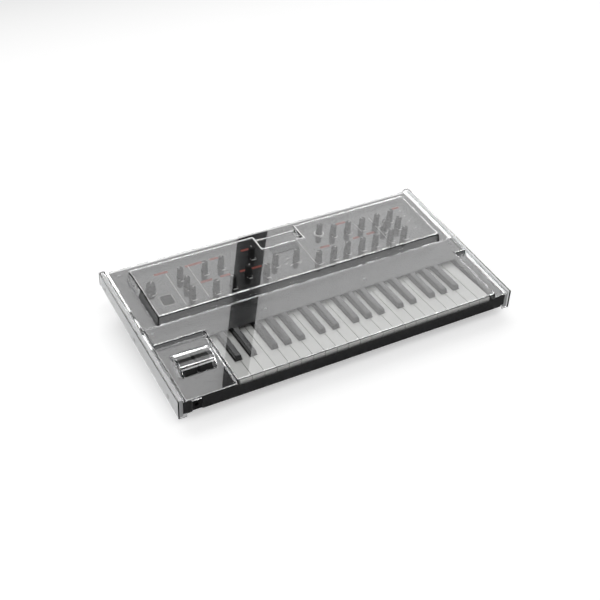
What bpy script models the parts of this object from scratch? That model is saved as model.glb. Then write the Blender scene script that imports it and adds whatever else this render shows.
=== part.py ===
"""Compact 37-key synthesizer under its clear dust cover, built as separate named pieces.

Metres, +Z up, +X to the player's right, +Y to the back. The origin is on the floor under the middle
of the body. The deck slopes up to the back; the keys stay level.
"""
import bmesh
import bpy
from math import asin, atan, cos, pi, radians, sin, sqrt
from mathutils import Matrix, Vector

# ---------------------------------------------------------------- fits
GAP = 0.0003                    # between pieces that touch
RUNNING_GAP = 0.0004            # round a shaft
KEY_GAP = 0.0009                # between neighbouring keys
BOTTOMLESS = 0.100              # how far a cutter runs past what it cuts

# ---------------------------------------------------------------- keyboard
WHITE_KEYS = 22
OCTAVE_WHITES = 7
KEY_PITCH = 0.0235
KEY_TOP = 0.0460                # above the floor
KEY_VISIBLE = 0.1180            # from its front edge to the deck
KEY_TAIL = 0.0750               # from the deck's edge back to its end
KEY_DEPTH = 0.0085              # thickness of the playing plate
KEY_LIP = 0.0120                # height of its front face
KEY_LIP_THICKNESS = 0.0030
KEY_PIVOT_INSET = 0.0050        # hinge line, in front of the tail's end
BLACK_WIDTH = 0.0128
BLACK_TOP_WIDTH = 0.0106
BLACK_LENGTH = 0.0725           # playing length, at its foot
BLACK_RAKE = 0.0024             # how far its front face leans back
BLACK_FRONT_RISE = 0.0085       # above the white keys
BLACK_REAR_RISE = 0.0105
KEY_SIDE_CLEARANCE = 0.0030     # from the outer keys to the end blocks

# ---------------------------------------------------------------- body
LEFT_BLOCK = 0.1015             # deck to the left of the keys, with the wheels
RIGHT_BLOCK = 0.0295
BODY_DEPTH = 0.3410
DECK_SLOPE = 0.0869             # rise for each metre to the back
DECK_FRONT = 0.0444             # height of the deck's front edge
DECK_THICKNESS = 0.0030
BLOCK_WALL = 0.0025
SLAB_FRONT = 0.0142             # height of the slab's underside at the front
SLAB_SLOPE = 0.1140
CHEEK_THICKNESS = 0.0070
CHEEK_RISE = 0.0035             # above the deck
RAIL_THICKNESS = 0.0025
RAIL_TOP = 0.0393
RAIL_BOTTOM = 0.0210
RAIL_LIP = 0.0060
KEY_FRONT_CLEARANCE = 0.0015
REAR_PLATE = 0.0030
TRAY_WALL = 0.0025
TRAY_FLOOR = 0.0053
TRAY_TAPER_X = 0.0345           # how far the tray's ends lean in
TRAY_TAPER_Y = 0.0260
TRAY_END_STEPS = 8              # facets along each leaning end
FOOT_RADIUS = 0.0100
FOOT_HEIGHT = 0.0050
FOOT_INSET_X = 0.0250           # from the edge of the tray's floor
FOOT_INSET_Y = 0.0250

# ---------------------------------------------------------------- inside
BED_FLOOR = 0.0170
BED_PLATE = 0.0025
BED_INSET = 0.0100              # behind the rail
HINGE_BAR_DEPTH = 0.0090
HINGE_BAR_GAP = 0.0010          # under the key tails
BOARD_THICKNESS = 0.0016
BOARD_HEIGHT = 0.0420
BOARD_INSET = 0.0300
BOARD_DEPTH = 0.1000
BOARD_REAR_INSET = 0.0200

# ---------------------------------------------------------------- control panel
PANEL_THICKNESS = 0.0008
PANEL_SIDE_INSET = 0.0370       # from the cheeks
PANEL_FRONT_SETBACK = 0.0565    # behind the deck's edge at the keys
PANEL_DEPTH = 0.1330
KNOB_RADIUS = 0.0060
KNOB_HEIGHT = 0.0210
VOLUME_RADIUS = 0.0085
VOLUME_HEIGHT = 0.0150
SHAFT_RADIUS = 0.0030
SHAFT_LENGTH = 0.0090
KNOB_LIFT = 0.0006              # under each knob
KNOB_PLACES = {                 # x and y as shares of the panel's half width and its depth
    "volume": (-0.9266, 0.6692),
    "value": (0.3221, 0.8571),
    "cutoff": (0.1791, 0.3233),
    "resonance": (0.2928, 0.3233),
}
DISPLAY_SIZE = (0.0560, 0.0220)
DISPLAY_PLACE = (0.0344, 0.7669)
DISPLAY_THICKNESS = 0.0014

# ---------------------------------------------------------------- wheels
WHEEL_RADIUS = 0.0240
WHEEL_WIDTH = 0.0230
WHEEL_SPACING = 0.0290
WHEEL_FLOOR_GAP = 0.0075        # above the tray's floor
WHEEL_SETBACK = 0.0735          # behind the body's front
WHEEL_INSET = 0.0380            # middle of the first wheel, from the left cheek
WHEEL_SLOT_GAP = 0.0010
AXLE_RADIUS = 0.0020
THUMB_RADIUS = 0.0090
THUMB_DEPTH = 0.0020
BRACKET_PLATE = 0.0020
BRACKET_WIDTH = 0.0220
BRACKET_DROP = 0.0160

# ---------------------------------------------------------------- sockets
JACK_PLACE = 0.0240             # from the left cheek
JACK_HEIGHT = 0.0312
JACK_RADIUS = 0.0050
JACK_BORE = 0.0034
JACK_LENGTH = 0.0180
JACK_BACK = 0.0030
REAR_SOCKETS = (                # x, radius
    (-0.2600, 0.0040), (-0.2150, 0.0045), (-0.1900, 0.0045), (-0.1450, 0.0045),
    (0.0500, 0.0070), (0.0800, 0.0070), (0.2300, 0.0040))

# ---------------------------------------------------------------- dust cover
COVER_WALL = 0.0026
COVER_SIDE_GAP = 0.0006         # outside the cheeks
COVER_END_GAP = 0.0019          # in front of and behind the body
COVER_CLEARANCE = 0.0003        # between its lower sheet and the control panel
RIDGE_RISE = 0.0039             # over the cheeks
RIDGE_CROWN_OUT = 0.0023        # its hollow's top edge, outside the cheek's inner face
RIDGE_FOOT_IN = 0.0032          # its hollow's foot, inside the cheek's inner face
ISLAND_RISE = 0.0095            # over the keys
ISLAND_LEFT_MARGIN = 0.0085     # beyond the keys
ISLAND_RIGHT_MARGIN = 0.0055
ISLAND_REAR = 0.0470            # behind the deck's edge at the keys
ISLAND_STEP = 0.0025            # where the side pockets end, behind that edge
ISLAND_SIDE_INSET = 0.0135
HOOD_RISE = 0.0220              # over the knobs
HOOD_SIDE_MARGIN = 0.0066       # beside the control panel, at its foot
HOOD_FRONT_MARGIN = 0.0076      # in front of the control panel, at its foot
HOOD_DEPTH = 0.1393             # at its foot
HOOD_DRAFT = 0.0030
NOTCH_HALF_WIDTH = 0.0430
NOTCH_DEPTH = 0.0110
NOTCH_LENGTH = 0.0415           # from the hood's rear foot
DOME_MARGIN = 0.0065            # beyond the wheels
DOME_HEADROOM = 0.0064          # over the wheels
DOME_REACH = 0.0095             # beyond the wheels' chord at the lower sheet
DOME_STEPS = 10                 # facets over the dome's arc
SKIRT_FRONT = 0.0137            # height of the side skirts' lower edge
SKIRT_SLOPE = 0.1140
FRONT_WALL_BOTTOM = 0.0205
CORNER_FOOT = 0.0160
PLUG_CUTOUT = 0.0180
PLUG_CUTOUT_TOP = 0.0020        # below the lower sheet's underside
CABLE_CUTOUT = 0.5600
CABLE_CUTOUT_TOP = 0.0080

# ---------------------------------------------------------------- worked out
KEY_SPAN = WHITE_KEYS * KEY_PITCH
INNER_WIDTH = LEFT_BLOCK + 2 * KEY_SIDE_CLEARANCE + KEY_SPAN + RIGHT_BLOCK
INNER_HALF = INNER_WIDTH / 2
CHEEK_INSIDE = INNER_HALF + GAP
CHEEK_OUTSIDE = CHEEK_INSIDE + CHEEK_THICKNESS
FRONT = -BODY_DEPTH / 2
REAR = BODY_DEPTH / 2
WELL_LEFT = -INNER_HALF + LEFT_BLOCK
WELL_RIGHT = INNER_HALF - RIGHT_BLOCK
KEYS_LEFT = WELL_LEFT + KEY_SIDE_CLEARANCE
KEYS_RIGHT = KEYS_LEFT + KEY_SPAN
KEY_FRONT = FRONT + RAIL_THICKNESS + KEY_FRONT_CLEARANCE
DECK_EDGE = KEY_FRONT + KEY_VISIBLE
KEY_END = DECK_EDGE + KEY_TAIL
KEY_UNDERSIDE = KEY_TOP - KEY_DEPTH
PIVOT = Vector((0, KEY_END - KEY_PIVOT_INSET, KEY_TOP - KEY_DEPTH / 2))
PANEL_FRONT = DECK_EDGE + PANEL_FRONT_SETBACK
PANEL_REAR = PANEL_FRONT + PANEL_DEPTH
PANEL_HALF = CHEEK_INSIDE - PANEL_SIDE_INSET
PANEL_TOP = DECK_FRONT + GAP + PANEL_THICKNESS
TRAY_HALF_X = INNER_HALF - GAP
TRAY_HALF_Y = BODY_DEPTH / 2 - RAIL_THICKNESS - KEY_FRONT_CLEARANCE
FOOT_X = TRAY_HALF_X - TRAY_TAPER_X - FOOT_INSET_X
FOOT_Y = TRAY_HALF_Y - TRAY_TAPER_Y - FOOT_INSET_Y
WHEEL_Y = FRONT + WHEEL_SETBACK
PITCH_X = -CHEEK_INSIDE + WHEEL_INSET
MOD_X = PITCH_X + WHEEL_SPACING
JACK_X = -CHEEK_INSIDE + JACK_PLACE
COVER_HALF_X = CHEEK_OUTSIDE + COVER_SIDE_GAP + COVER_WALL
COVER_HALF_Y = BODY_DEPTH / 2 + COVER_END_GAP + COVER_WALL
COVER_LIFT = PANEL_TOP - DECK_FRONT + COVER_CLEARANCE + COVER_WALL
SHEET_FRONT = DECK_FRONT + COVER_LIFT
HOOD_FRONT = PANEL_FRONT - HOOD_FRONT_MARGIN
HOOD_REAR = HOOD_FRONT + HOOD_DEPTH


def rise(start, y):
    """Height of a surface that lies parallel to the deck and has height `start` at the front."""
    return start + DECK_SLOPE * (y - FRONT)


def slab_underside(y):
    """Height of the slab's underside."""
    return SLAB_FRONT + SLAB_SLOPE * (y - FRONT)


WHEEL_Z = TRAY_FLOOR + TRAY_WALL + WHEEL_FLOOR_GAP + WHEEL_RADIUS
WHEEL_SHOW = WHEEL_Z + WHEEL_RADIUS - rise(SHEET_FRONT, WHEEL_Y)
DOME_RISE = WHEEL_SHOW + COVER_WALL + DOME_HEADROOM
DOME_HALF_LENGTH = sqrt(WHEEL_SHOW * (2 * WHEEL_RADIUS - WHEEL_SHOW)) + DOME_REACH

# ---------------------------------------------------------------- materials
MATERIALS = {
    "black_case": ((0.012, 0.012, 0.013), 0.55, 0.0),
    "panel_black": ((0.010, 0.010, 0.011), 0.40, 0.0),
    "silver_cheek": ((0.62, 0.63, 0.64), 0.35, 0.0),
    "white_key": ((0.80, 0.80, 0.78), 0.25, 0.0),
    "black_key": ((0.010, 0.010, 0.010), 0.35, 0.0),
    "clear_cover": ((0.90, 0.92, 0.93), 0.05, 0.0),
    "knob_rubber": ((0.015, 0.015, 0.016), 0.60, 0.0),
    "wheel_plastic": ((0.020, 0.020, 0.021), 0.40, 0.0),
    "steel": ((0.55, 0.55, 0.56), 0.35, 1.0),
    "board_green": ((0.02, 0.10, 0.05), 0.50, 0.0),
    "foot_rubber": ((0.018, 0.018, 0.018), 0.85, 0.0),
    "display_glass": ((0.015, 0.020, 0.025), 0.10, 0.0),
}


def material(name):
    """The named material, made the first time it is asked for."""
    if name in bpy.data.materials:
        return bpy.data.materials[name]
    colour, roughness, metallic = MATERIALS[name]
    made = bpy.data.materials.new(name)
    made.use_nodes = True
    shader = made.node_tree.nodes["Principled BSDF"]
    shader.inputs["Base Color"].default_value = (*colour, 1)
    shader.inputs["Roughness"].default_value = roughness
    shader.inputs["Metallic"].default_value = metallic
    return made


# ---------------------------------------------------------------- building blocks
def add_object(name, mesh_data, material_name, place=(0, 0, 0), smooth=False):
    """Turn a bmesh into a scene object whose origin stands at `place`."""
    bmesh.ops.recalc_face_normals(mesh_data, faces=mesh_data.faces)
    bmesh.ops.translate(mesh_data, vec=-Vector(place), verts=mesh_data.verts)
    mesh = bpy.data.meshes.new(name)
    mesh_data.to_mesh(mesh)
    mesh_data.free()
    if material_name:
        mesh.materials.append(material(material_name))
    if smooth:
        mesh.shade_smooth()
        mesh.set_sharp_from_angle(angle=radians(40))
    made = bpy.data.objects.new(name, mesh)
    made.location = place
    bpy.context.collection.objects.link(made)
    return made


def as_cutter(made):
    """Keep a guide body out of the built part."""
    made.hide_render = True
    made.display_type = "WIRE"
    return made


def combine(host, other, operation):
    """Add a live Boolean to `host`; `other` becomes a hidden guide."""
    as_cutter(other)
    step = host.modifiers.new(operation.lower(), "BOOLEAN")
    step.operation = operation
    step.solver = "EXACT"
    step.object = other
    return host


def loop_faces(mesh_data, loops, closed=True):
    """Skin a list of equal point loops, and close both ends."""
    rings = [[mesh_data.verts.new(point) for point in loop] for loop in loops]
    count = len(rings[0])
    pairs = list(zip(rings, rings[1:]))
    for low, high in pairs:
        for i in range(count):
            j = (i + 1) % count
            mesh_data.faces.new((low[i], low[j], high[j], high[i]))
    if closed:
        mesh_data.faces.new(rings[0])
        mesh_data.faces.new(rings[-1])
    return rings


def side_prism(outline, x_low, x_high):
    """A (y, z) outline carried along X."""
    made = bmesh.new()
    loop_faces(made, [[(x, y, z) for y, z in outline] for x in (x_low, x_high)])
    return made


def box(x_low, x_high, y_low, y_high, z_low, z_high):
    """A plain upright block."""
    return side_prism([(y_low, z_low), (y_high, z_low), (y_high, z_high), (y_low, z_high)],
                      x_low, x_high)


def sloped_sheet(outline, top, thickness):
    """A plan outline with its top parallel to the deck; `top` is its height at the front."""
    made = bmesh.new()
    loop_faces(made, [[(x, y, rise(top - drop, y)) for x, y in outline]
                      for drop in (thickness, 0)])
    return made


def rectangle(x_low, x_high, y_low, y_high):
    """Corner points of a plan rectangle."""
    return [(x_low, y_low), (x_high, y_low), (x_high, y_high), (x_low, y_high)]


def turned(profile, sides=20, closed=False):
    """Spin an (r, z) profile about Z. A closed profile makes a ring."""
    made = bmesh.new()
    loops = []
    for radius, height in profile:
        angles = [2 * pi * k / sides for k in range(sides)]
        loops.append([(radius * cos(a), radius * sin(a), height) for a in angles])
    rings = loop_faces(made, loops, closed=not closed)
    if closed:
        for i in range(sides):
            j = (i + 1) % sides
            made.faces.new((rings[-1][i], rings[-1][j], rings[0][j], rings[0][i]))
    return made


def laid_along_x(mesh_data, middle):
    """Turn a body made about Z so that it lies along X, with its middle at `middle`."""
    bmesh.ops.rotate(mesh_data, cent=(0, 0, 0), matrix=Matrix.Rotation(pi / 2, 3, "Y"),
                     verts=mesh_data.verts)
    bmesh.ops.translate(mesh_data, vec=middle, verts=mesh_data.verts)
    return mesh_data


def laid_along_y(mesh_data, start):
    """Turn a body made up Z so that it runs along +Y from `start`."""
    bmesh.ops.rotate(mesh_data, cent=(0, 0, 0), matrix=Matrix.Rotation(-pi / 2, 3, "X"),
                     verts=mesh_data.verts)
    bmesh.ops.translate(mesh_data, vec=start, verts=mesh_data.verts)
    return mesh_data


def square_to_deck(mesh_data, foot):
    """Tip a body made up Z so that it stands square on the deck at `foot`."""
    bmesh.ops.rotate(mesh_data, cent=(0, 0, 0), matrix=Matrix.Rotation(atan(DECK_SLOPE), 3, "X"),
                     verts=mesh_data.verts)
    bmesh.ops.translate(mesh_data, vec=foot, verts=mesh_data.verts)
    return mesh_data


# ---------------------------------------------------------------- keys
def black_centres():
    """Middle of each black key, by the white key that it follows."""
    centres = {}
    for octave_start in range(0, WHITE_KEYS - 1, OCTAVE_WHITES):
        for first, whites in ((0, 3), (3, 4)):
            start = KEYS_LEFT + (octave_start + first) * KEY_PITCH
            slot = whites * KEY_PITCH / (2 * whites - 1)
            for k in range(whites - 1):
                centres[octave_start + first + k] = start + (2 * k + 1.5) * slot
    return centres


def white_key(index, blacks):
    """One white key: a plate cut back beside its black keys, with a front lip and a tail."""
    left = KEYS_LEFT + index * KEY_PITCH + KEY_GAP / 2
    right = left + KEY_PITCH - KEY_GAP
    clearance = BLACK_WIDTH / 2 + KEY_GAP
    neck = KEY_FRONT + KEY_VISIBLE - BLACK_LENGTH - KEY_GAP
    tail_left = blacks[index - 1] + clearance if index - 1 in blacks else left
    tail_right = blacks[index] - clearance if index in blacks else right
    lip_back = KEY_FRONT + KEY_LIP_THICKNESS
    outline = [(left, KEY_FRONT), (right, KEY_FRONT), (right, neck), (tail_right, neck),
               (tail_right, KEY_END), (tail_left, KEY_END), (tail_left, neck), (left, neck)]
    outline = [point for k, point in enumerate(outline) if point != outline[k - 1]]
    plate = bmesh.new()
    loop_faces(plate, [[(x, y, z) for x, y in outline] for z in (KEY_UNDERSIDE, KEY_TOP)])
    name = f"white_key_{index + 1:02d}"
    key = add_object(name, plate, "white_key", (0, PIVOT.y, PIVOT.z))
    lip = box(left, right, KEY_FRONT, lip_back, KEY_TOP - KEY_LIP, KEY_UNDERSIDE + GAP)
    return combine(key, add_object(name + "_lip", lip, None), "UNION")


def black_key(number, centre):
    """One black key: a raked wedge on a tail that dives under the deck."""
    foot = BLACK_WIDTH / 2
    crown = BLACK_TOP_WIDTH / 2
    front = DECK_EDGE - BLACK_LENGTH
    shoulder = DECK_EDGE - 2 * KEY_GAP
    made = bmesh.new()
    sections = []
    rows = ((front, KEY_UNDERSIDE, foot), (KEY_END, KEY_UNDERSIDE, foot),
            (KEY_END, KEY_TOP, foot), (shoulder, KEY_TOP, foot),
            (shoulder, KEY_TOP + BLACK_REAR_RISE, crown),
            (front + BLACK_RAKE, KEY_TOP + BLACK_FRONT_RISE, crown), (front, KEY_TOP, foot))
    for side in (-1, 1):
        sections.append([(centre + side * half, y, z) for y, z, half in rows])
    loop_faces(made, sections)
    bmesh.ops.triangulate(made, faces=made.faces)
    return add_object(f"black_key_{number:02d}", made, "black_key", (0, PIVOT.y, PIVOT.z))


def make_keys():
    """All the keys, left to right."""
    blacks = black_centres()
    for index in range(WHITE_KEYS):
        white_key(index, blacks)
    for number, index in enumerate(sorted(blacks), start=1):
        black_key(number, blacks[index])


# ---------------------------------------------------------------- body shell
def tray_ring(inset, level):
    """Plan loop of the tray's wall: at its rim when `level` is None, or else at that height."""
    at_rim = level is None
    half_x = TRAY_HALF_X - inset - (0 if at_rim else TRAY_TAPER_X)
    half_y = TRAY_HALF_Y - inset - (0 if at_rim else TRAY_TAPER_Y)
    steps = [half_y * (2 * k / TRAY_END_STEPS - 1) for k in range(TRAY_END_STEPS + 1)]
    points = [(half_x, y) for y in steps] + [(-half_x, y) for y in reversed(steps)]
    return [(x, y, slab_underside(y) - GAP if at_rim else level) for x, y in points]


def make_tray():
    """The lower case: an open tray whose walls lean in to a flat floor."""
    made = bmesh.new()
    loop_faces(made, [tray_ring(0, TRAY_FLOOR), tray_ring(0, None), tray_ring(TRAY_WALL, None),
                      tray_ring(TRAY_WALL, TRAY_FLOOR + TRAY_WALL)])
    bmesh.ops.triangulate(made, faces=made.faces)
    add_object("bottom_case", made, "black_case")


def wheel_slot(middle):
    """Cutter for one wheel's opening in the deck."""
    half = WHEEL_WIDTH / 2 + WHEEL_SLOT_GAP
    reach = WHEEL_RADIUS + WHEEL_SLOT_GAP
    return box(middle - half, middle + half, WHEEL_Y - reach, WHEEL_Y + reach,
               0, rise(DECK_FRONT, WHEEL_Y) + BOTTOMLESS)


def make_top_case():
    """The upper case: the sloped deck, the two end blocks and their walls beside the keys."""
    outline = [(-INNER_HALF, FRONT), (WELL_LEFT, FRONT), (WELL_LEFT, DECK_EDGE),
               (WELL_RIGHT, DECK_EDGE), (WELL_RIGHT, FRONT), (INNER_HALF, FRONT),
               (INNER_HALF, REAR), (-INNER_HALF, REAR)]
    case = add_object("top_case", sloped_sheet(outline, DECK_FRONT, DECK_THICKNESS), "black_case")
    fascia_bottom = RAIL_TOP + GAP
    wall_rear = DECK_EDGE + DECK_THICKNESS
    for side, (inner, outer) in (("left", (-INNER_HALF, WELL_LEFT)),
                                 ("right", (WELL_RIGHT, INNER_HALF))):
        top = DECK_FRONT - DECK_THICKNESS / 2
        fascia = side_prism([(FRONT, fascia_bottom), (FRONT + RAIL_THICKNESS, fascia_bottom),
                             (FRONT + RAIL_THICKNESS, rise(top, FRONT + RAIL_THICKNESS)),
                             (FRONT, rise(top, FRONT))], inner, outer)
        combine(case, add_object(side + "_fascia", fascia, None), "UNION")
        edge = outer - BLOCK_WALL if side == "left" else inner
        start = FRONT + RAIL_THICKNESS + GAP
        foot = KEY_TOP - KEY_LIP
        wall = side_prism([(start, foot), (wall_rear, foot), (wall_rear, rise(top, wall_rear)),
                           (start, rise(top, start))], edge, edge + BLOCK_WALL)
        combine(case, add_object(side + "_block_wall", wall, None), "UNION")
    for side, middle in (("pitch", PITCH_X), ("mod", MOD_X)):
        combine(case, add_object(side + "_slot", wheel_slot(middle), None), "DIFFERENCE")
    for name, place in KNOB_PLACES.items():
        combine(case, add_object(name + "_case_hole", shaft_hole(place), None), "DIFFERENCE")


def make_front_rail():
    """The black strip in front of the keys, with the headphone socket's hole."""
    back = FRONT + RAIL_THICKNESS
    bottom = RAIL_BOTTOM
    outline = [(FRONT, bottom), (back + RAIL_LIP, bottom), (back + RAIL_LIP, bottom + RAIL_THICKNESS),
               (back, bottom + RAIL_THICKNESS), (back, RAIL_TOP), (FRONT, RAIL_TOP)]
    rail = add_object("front_rail", side_prism(outline, -INNER_HALF, INNER_HALF), "black_case")
    hole = turned([(JACK_RADIUS + GAP, -RAIL_THICKNESS), (JACK_RADIUS + GAP, 3 * RAIL_THICKNESS)])
    cutter = add_object("jack_hole", laid_along_y(hole, (JACK_X, FRONT, JACK_HEIGHT)), None)
    combine(rail, cutter, "DIFFERENCE")


def make_cheeks():
    """The two light end plates."""
    for name, low, high in (("left_cheek", -CHEEK_OUTSIDE, -CHEEK_INSIDE),
                            ("right_cheek", CHEEK_INSIDE, CHEEK_OUTSIDE)):
        top = DECK_FRONT + CHEEK_RISE
        outline = [(FRONT, slab_underside(FRONT)), (REAR, slab_underside(REAR)),
                   (REAR, rise(top, REAR)), (FRONT, rise(top, FRONT))]
        add_object(name, side_prism(outline, low, high), "silver_cheek")


def make_rear_panel():
    """The connector plate along the back, with its round socket holes."""
    low = slab_underside(REAR) + GAP
    inner = REAR - REAR_PLATE
    high = rise(DECK_FRONT - DECK_THICKNESS, inner) - GAP
    half = INNER_HALF - GAP
    plate = add_object("rear_panel", box(-half, half, inner, REAR, low, high), "black_case")
    for number, (x, radius) in enumerate(REAR_SOCKETS, start=1):
        hole = turned([(radius, -REAR_PLATE), (radius, 2 * REAR_PLATE)], sides=16)
        cutter = laid_along_y(hole, (x, inner, (low + high) / 2))
        combine(plate, add_object(f"rear_hole_{number}", cutter, None), "DIFFERENCE")


def make_feet():
    """Four rubber feet under the tray."""
    top = TRAY_FLOOR - GAP
    for name, x, y in (("foot_front_left", -FOOT_X, -FOOT_Y), ("foot_front_right", FOOT_X, -FOOT_Y),
                       ("foot_rear_left", -FOOT_X, FOOT_Y), ("foot_rear_right", FOOT_X, FOOT_Y)):
        profile = [(FOOT_RADIUS * 0.9, top - FOOT_HEIGHT), (FOOT_RADIUS, top)]
        foot = turned(profile, sides=16)
        bmesh.ops.translate(foot, vec=(x, y, 0), verts=foot.verts)
        add_object(name, foot, "foot_rubber", smooth=True)


# ---------------------------------------------------------------- inside
def make_key_bed():
    """The steel keybed: a plate under the keys with the hinge bar at its back."""
    front = KEY_FRONT + BED_INSET
    bar_front = PIVOT.y - HINGE_BAR_DEPTH / 2
    bar_back = PIVOT.y + HINGE_BAR_DEPTH / 2
    plate_top = BED_FLOOR + BED_PLATE
    bar_top = KEY_UNDERSIDE - HINGE_BAR_GAP
    outline = [(front, BED_FLOOR), (bar_back, BED_FLOOR), (bar_back, bar_top),
               (bar_front, bar_top), (bar_front, plate_top), (front, plate_top)]
    add_object("key_bed", side_prism(outline, KEYS_LEFT, KEYS_RIGHT), "steel")


def make_main_board():
    """The main circuit board under the control panel."""
    rear = REAR - BOARD_REAR_INSET
    half = INNER_HALF - BOARD_INSET
    add_object("main_board", box(-half, half, rear - BOARD_DEPTH, rear, BOARD_HEIGHT,
                                 BOARD_HEIGHT + BOARD_THICKNESS), "board_green")


def make_headphone_jack():
    """The headphone socket: a barrel through the rail with a blind bore."""
    bore_end = JACK_LENGTH - JACK_BACK
    barrel = turned([(JACK_BORE, bore_end), (JACK_BORE, 0), (JACK_RADIUS, 0),
                     (JACK_RADIUS, JACK_LENGTH)], sides=16)
    add_object("headphone_jack", laid_along_y(barrel, (JACK_X, FRONT, JACK_HEIGHT)), "black_case")


# ---------------------------------------------------------------- wheels
def make_wheel(name, middle):
    """One performance wheel with a bore and a thumb groove across its crown."""
    half = WHEEL_WIDTH / 2
    bore = AXLE_RADIUS + RUNNING_GAP
    profile = [(bore, -half), (WHEEL_RADIUS, -half), (WHEEL_RADIUS, half), (bore, half)]
    centre = (middle, WHEEL_Y, WHEEL_Z)
    disc = laid_along_x(turned(profile, sides=48, closed=True), centre)
    wheel = add_object(name, disc, "wheel_plastic", centre, smooth=True)
    height = WHEEL_Z + WHEEL_RADIUS + THUMB_RADIUS - THUMB_DEPTH
    groove = turned([(THUMB_RADIUS, -WHEEL_WIDTH), (THUMB_RADIUS, WHEEL_WIDTH)], sides=24)
    cutter = add_object(name + "_groove", laid_along_x(groove, (middle, WHEEL_Y, height)), None)
    return combine(wheel, cutter, "DIFFERENCE")


def make_wheel_bracket():
    """The steel axle of the wheels and the two plates that carry it."""
    clear = WHEEL_WIDTH / 2 + 2 * WHEEL_SLOT_GAP
    low_x = PITCH_X - clear - BRACKET_PLATE
    high_x = MOD_X + clear + BRACKET_PLATE
    top = rise(DECK_FRONT - DECK_THICKNESS, WHEEL_Y - BRACKET_WIDTH / 2) - GAP
    y_low = WHEEL_Y - BRACKET_WIDTH / 2
    y_high = WHEEL_Y + BRACKET_WIDTH / 2
    half_length = (high_x - low_x - BRACKET_PLATE) / 2
    rod = turned([(AXLE_RADIUS, -half_length), (AXLE_RADIUS, half_length)], sides=16)
    middle = ((low_x + high_x) / 2, WHEEL_Y, WHEEL_Z)
    bracket = add_object("wheel_bracket", laid_along_x(rod, middle), "steel")
    for name, x in (("left", low_x), ("right", high_x - BRACKET_PLATE)):
        plate = box(x, x + BRACKET_PLATE, y_low, y_high, WHEEL_Z - BRACKET_DROP, top)
        combine(bracket, add_object(name + "_bracket_plate", plate, None), "UNION")


# ---------------------------------------------------------------- control panel
def on_panel(place):
    """Point on the control panel's top, from shares of its half width and its depth."""
    y = PANEL_FRONT + place[1] * PANEL_DEPTH
    return Vector((place[0] * PANEL_HALF, y, rise(PANEL_TOP, y)))


def shaft_hole(place):
    """Cutter for a knob's shaft."""
    radius = SHAFT_RADIUS + RUNNING_GAP
    hole = turned([(radius, -2 * SHAFT_LENGTH), (radius, SHAFT_LENGTH)], sides=16)
    return square_to_deck(hole, on_panel(place))


def make_control_panel():
    """The thin panel on the deck that carries the controls and the display."""
    outline = rectangle(-PANEL_HALF, PANEL_HALF, PANEL_FRONT, PANEL_REAR)
    panel = add_object("control_panel", sloped_sheet(outline, PANEL_TOP, PANEL_THICKNESS),
                       "panel_black")
    for name, place in KNOB_PLACES.items():
        combine(panel, add_object(name + "_hole", shaft_hole(place), None), "DIFFERENCE")


def make_display():
    """The display window that lies on the control panel."""
    middle = on_panel(DISPLAY_PLACE)
    half_x = DISPLAY_SIZE[0] / 2
    half_y = DISPLAY_SIZE[1] / 2
    outline = rectangle(middle.x - half_x, middle.x + half_x, middle.y - half_y, middle.y + half_y)
    glass = sloped_sheet(outline, PANEL_TOP + GAP + DISPLAY_THICKNESS, DISPLAY_THICKNESS)
    add_object("display_window", glass, "display_glass")


def make_knob(name, place, radius, height):
    """One knob on its shaft."""
    skirt = radius * 1.12
    stations = ((SHAFT_RADIUS, -SHAFT_LENGTH), (SHAFT_RADIUS, 0), (skirt, 0), (skirt, height * 0.12),
                (radius, height * 0.2), (radius * 0.94, height))
    foot = on_panel(place) + Vector((0, 0, KNOB_LIFT))
    body = square_to_deck(turned(stations), foot)
    add_object(name, body, "knob_rubber", foot, smooth=True)


# ---------------------------------------------------------------- dust cover
def dome_outline(inset):
    """Arc of the dome over the wheels, as (y, z) points, drawn in by `inset`."""
    sheet = rise(SHEET_FRONT, WHEEL_Y)
    radius = (DOME_HALF_LENGTH ** 2 + DOME_RISE ** 2) / (2 * DOME_RISE)
    centre_z = sheet + DOME_RISE - radius
    reach = asin(DOME_HALF_LENGTH / radius)
    outline = []
    for k in range(DOME_STEPS + 1):
        angle = -reach + 2 * reach * k / DOME_STEPS
        outline.append((WHEEL_Y + (radius - inset) * sin(angle),
                        centre_z + (radius - inset) * cos(angle)))
    floor = sheet - 2 * COVER_LIFT
    return [(outline[0][0], floor)] + outline + [(outline[-1][0], floor)]


def sheet_block(outline, floor, top):
    """A block on a plan outline between two surfaces parallel to the deck."""
    made = bmesh.new()
    loop_faces(made, [[(x, y, rise(floor, y)) for x, y in outline],
                      [(x, y, rise(top, y)) for x, y in outline]])
    return made


def cover_body(inset):
    """The cover's lower sheet, its ridges over the cheeks and its skirts, as one solid."""
    half_x = COVER_HALF_X - inset
    sheet = SHEET_FRONT - inset
    ridge = sheet + RIDGE_RISE
    crown = CHEEK_INSIDE + RIDGE_CROWN_OUT - COVER_WALL + inset
    foot = CHEEK_INSIDE - RIDGE_FOOT_IN - COVER_WALL + inset
    drop = BOTTOMLESS if inset else 0
    sections = []
    for y in (-COVER_HALF_Y + inset, COVER_HALF_Y - inset):
        skirt = SKIRT_FRONT + SKIRT_SLOPE * (y + COVER_HALF_Y) - drop
        half_outline = [(half_x, skirt), (half_x, rise(ridge, y)), (crown, rise(ridge, y)),
                        (foot, rise(sheet, y))]
        left_outline = [(-x, z) for x, z in reversed(half_outline)]
        sections.append([(x, y, z) for x, z in half_outline + left_outline])
    made = bmesh.new()
    loop_faces(made, sections)
    return made


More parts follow.
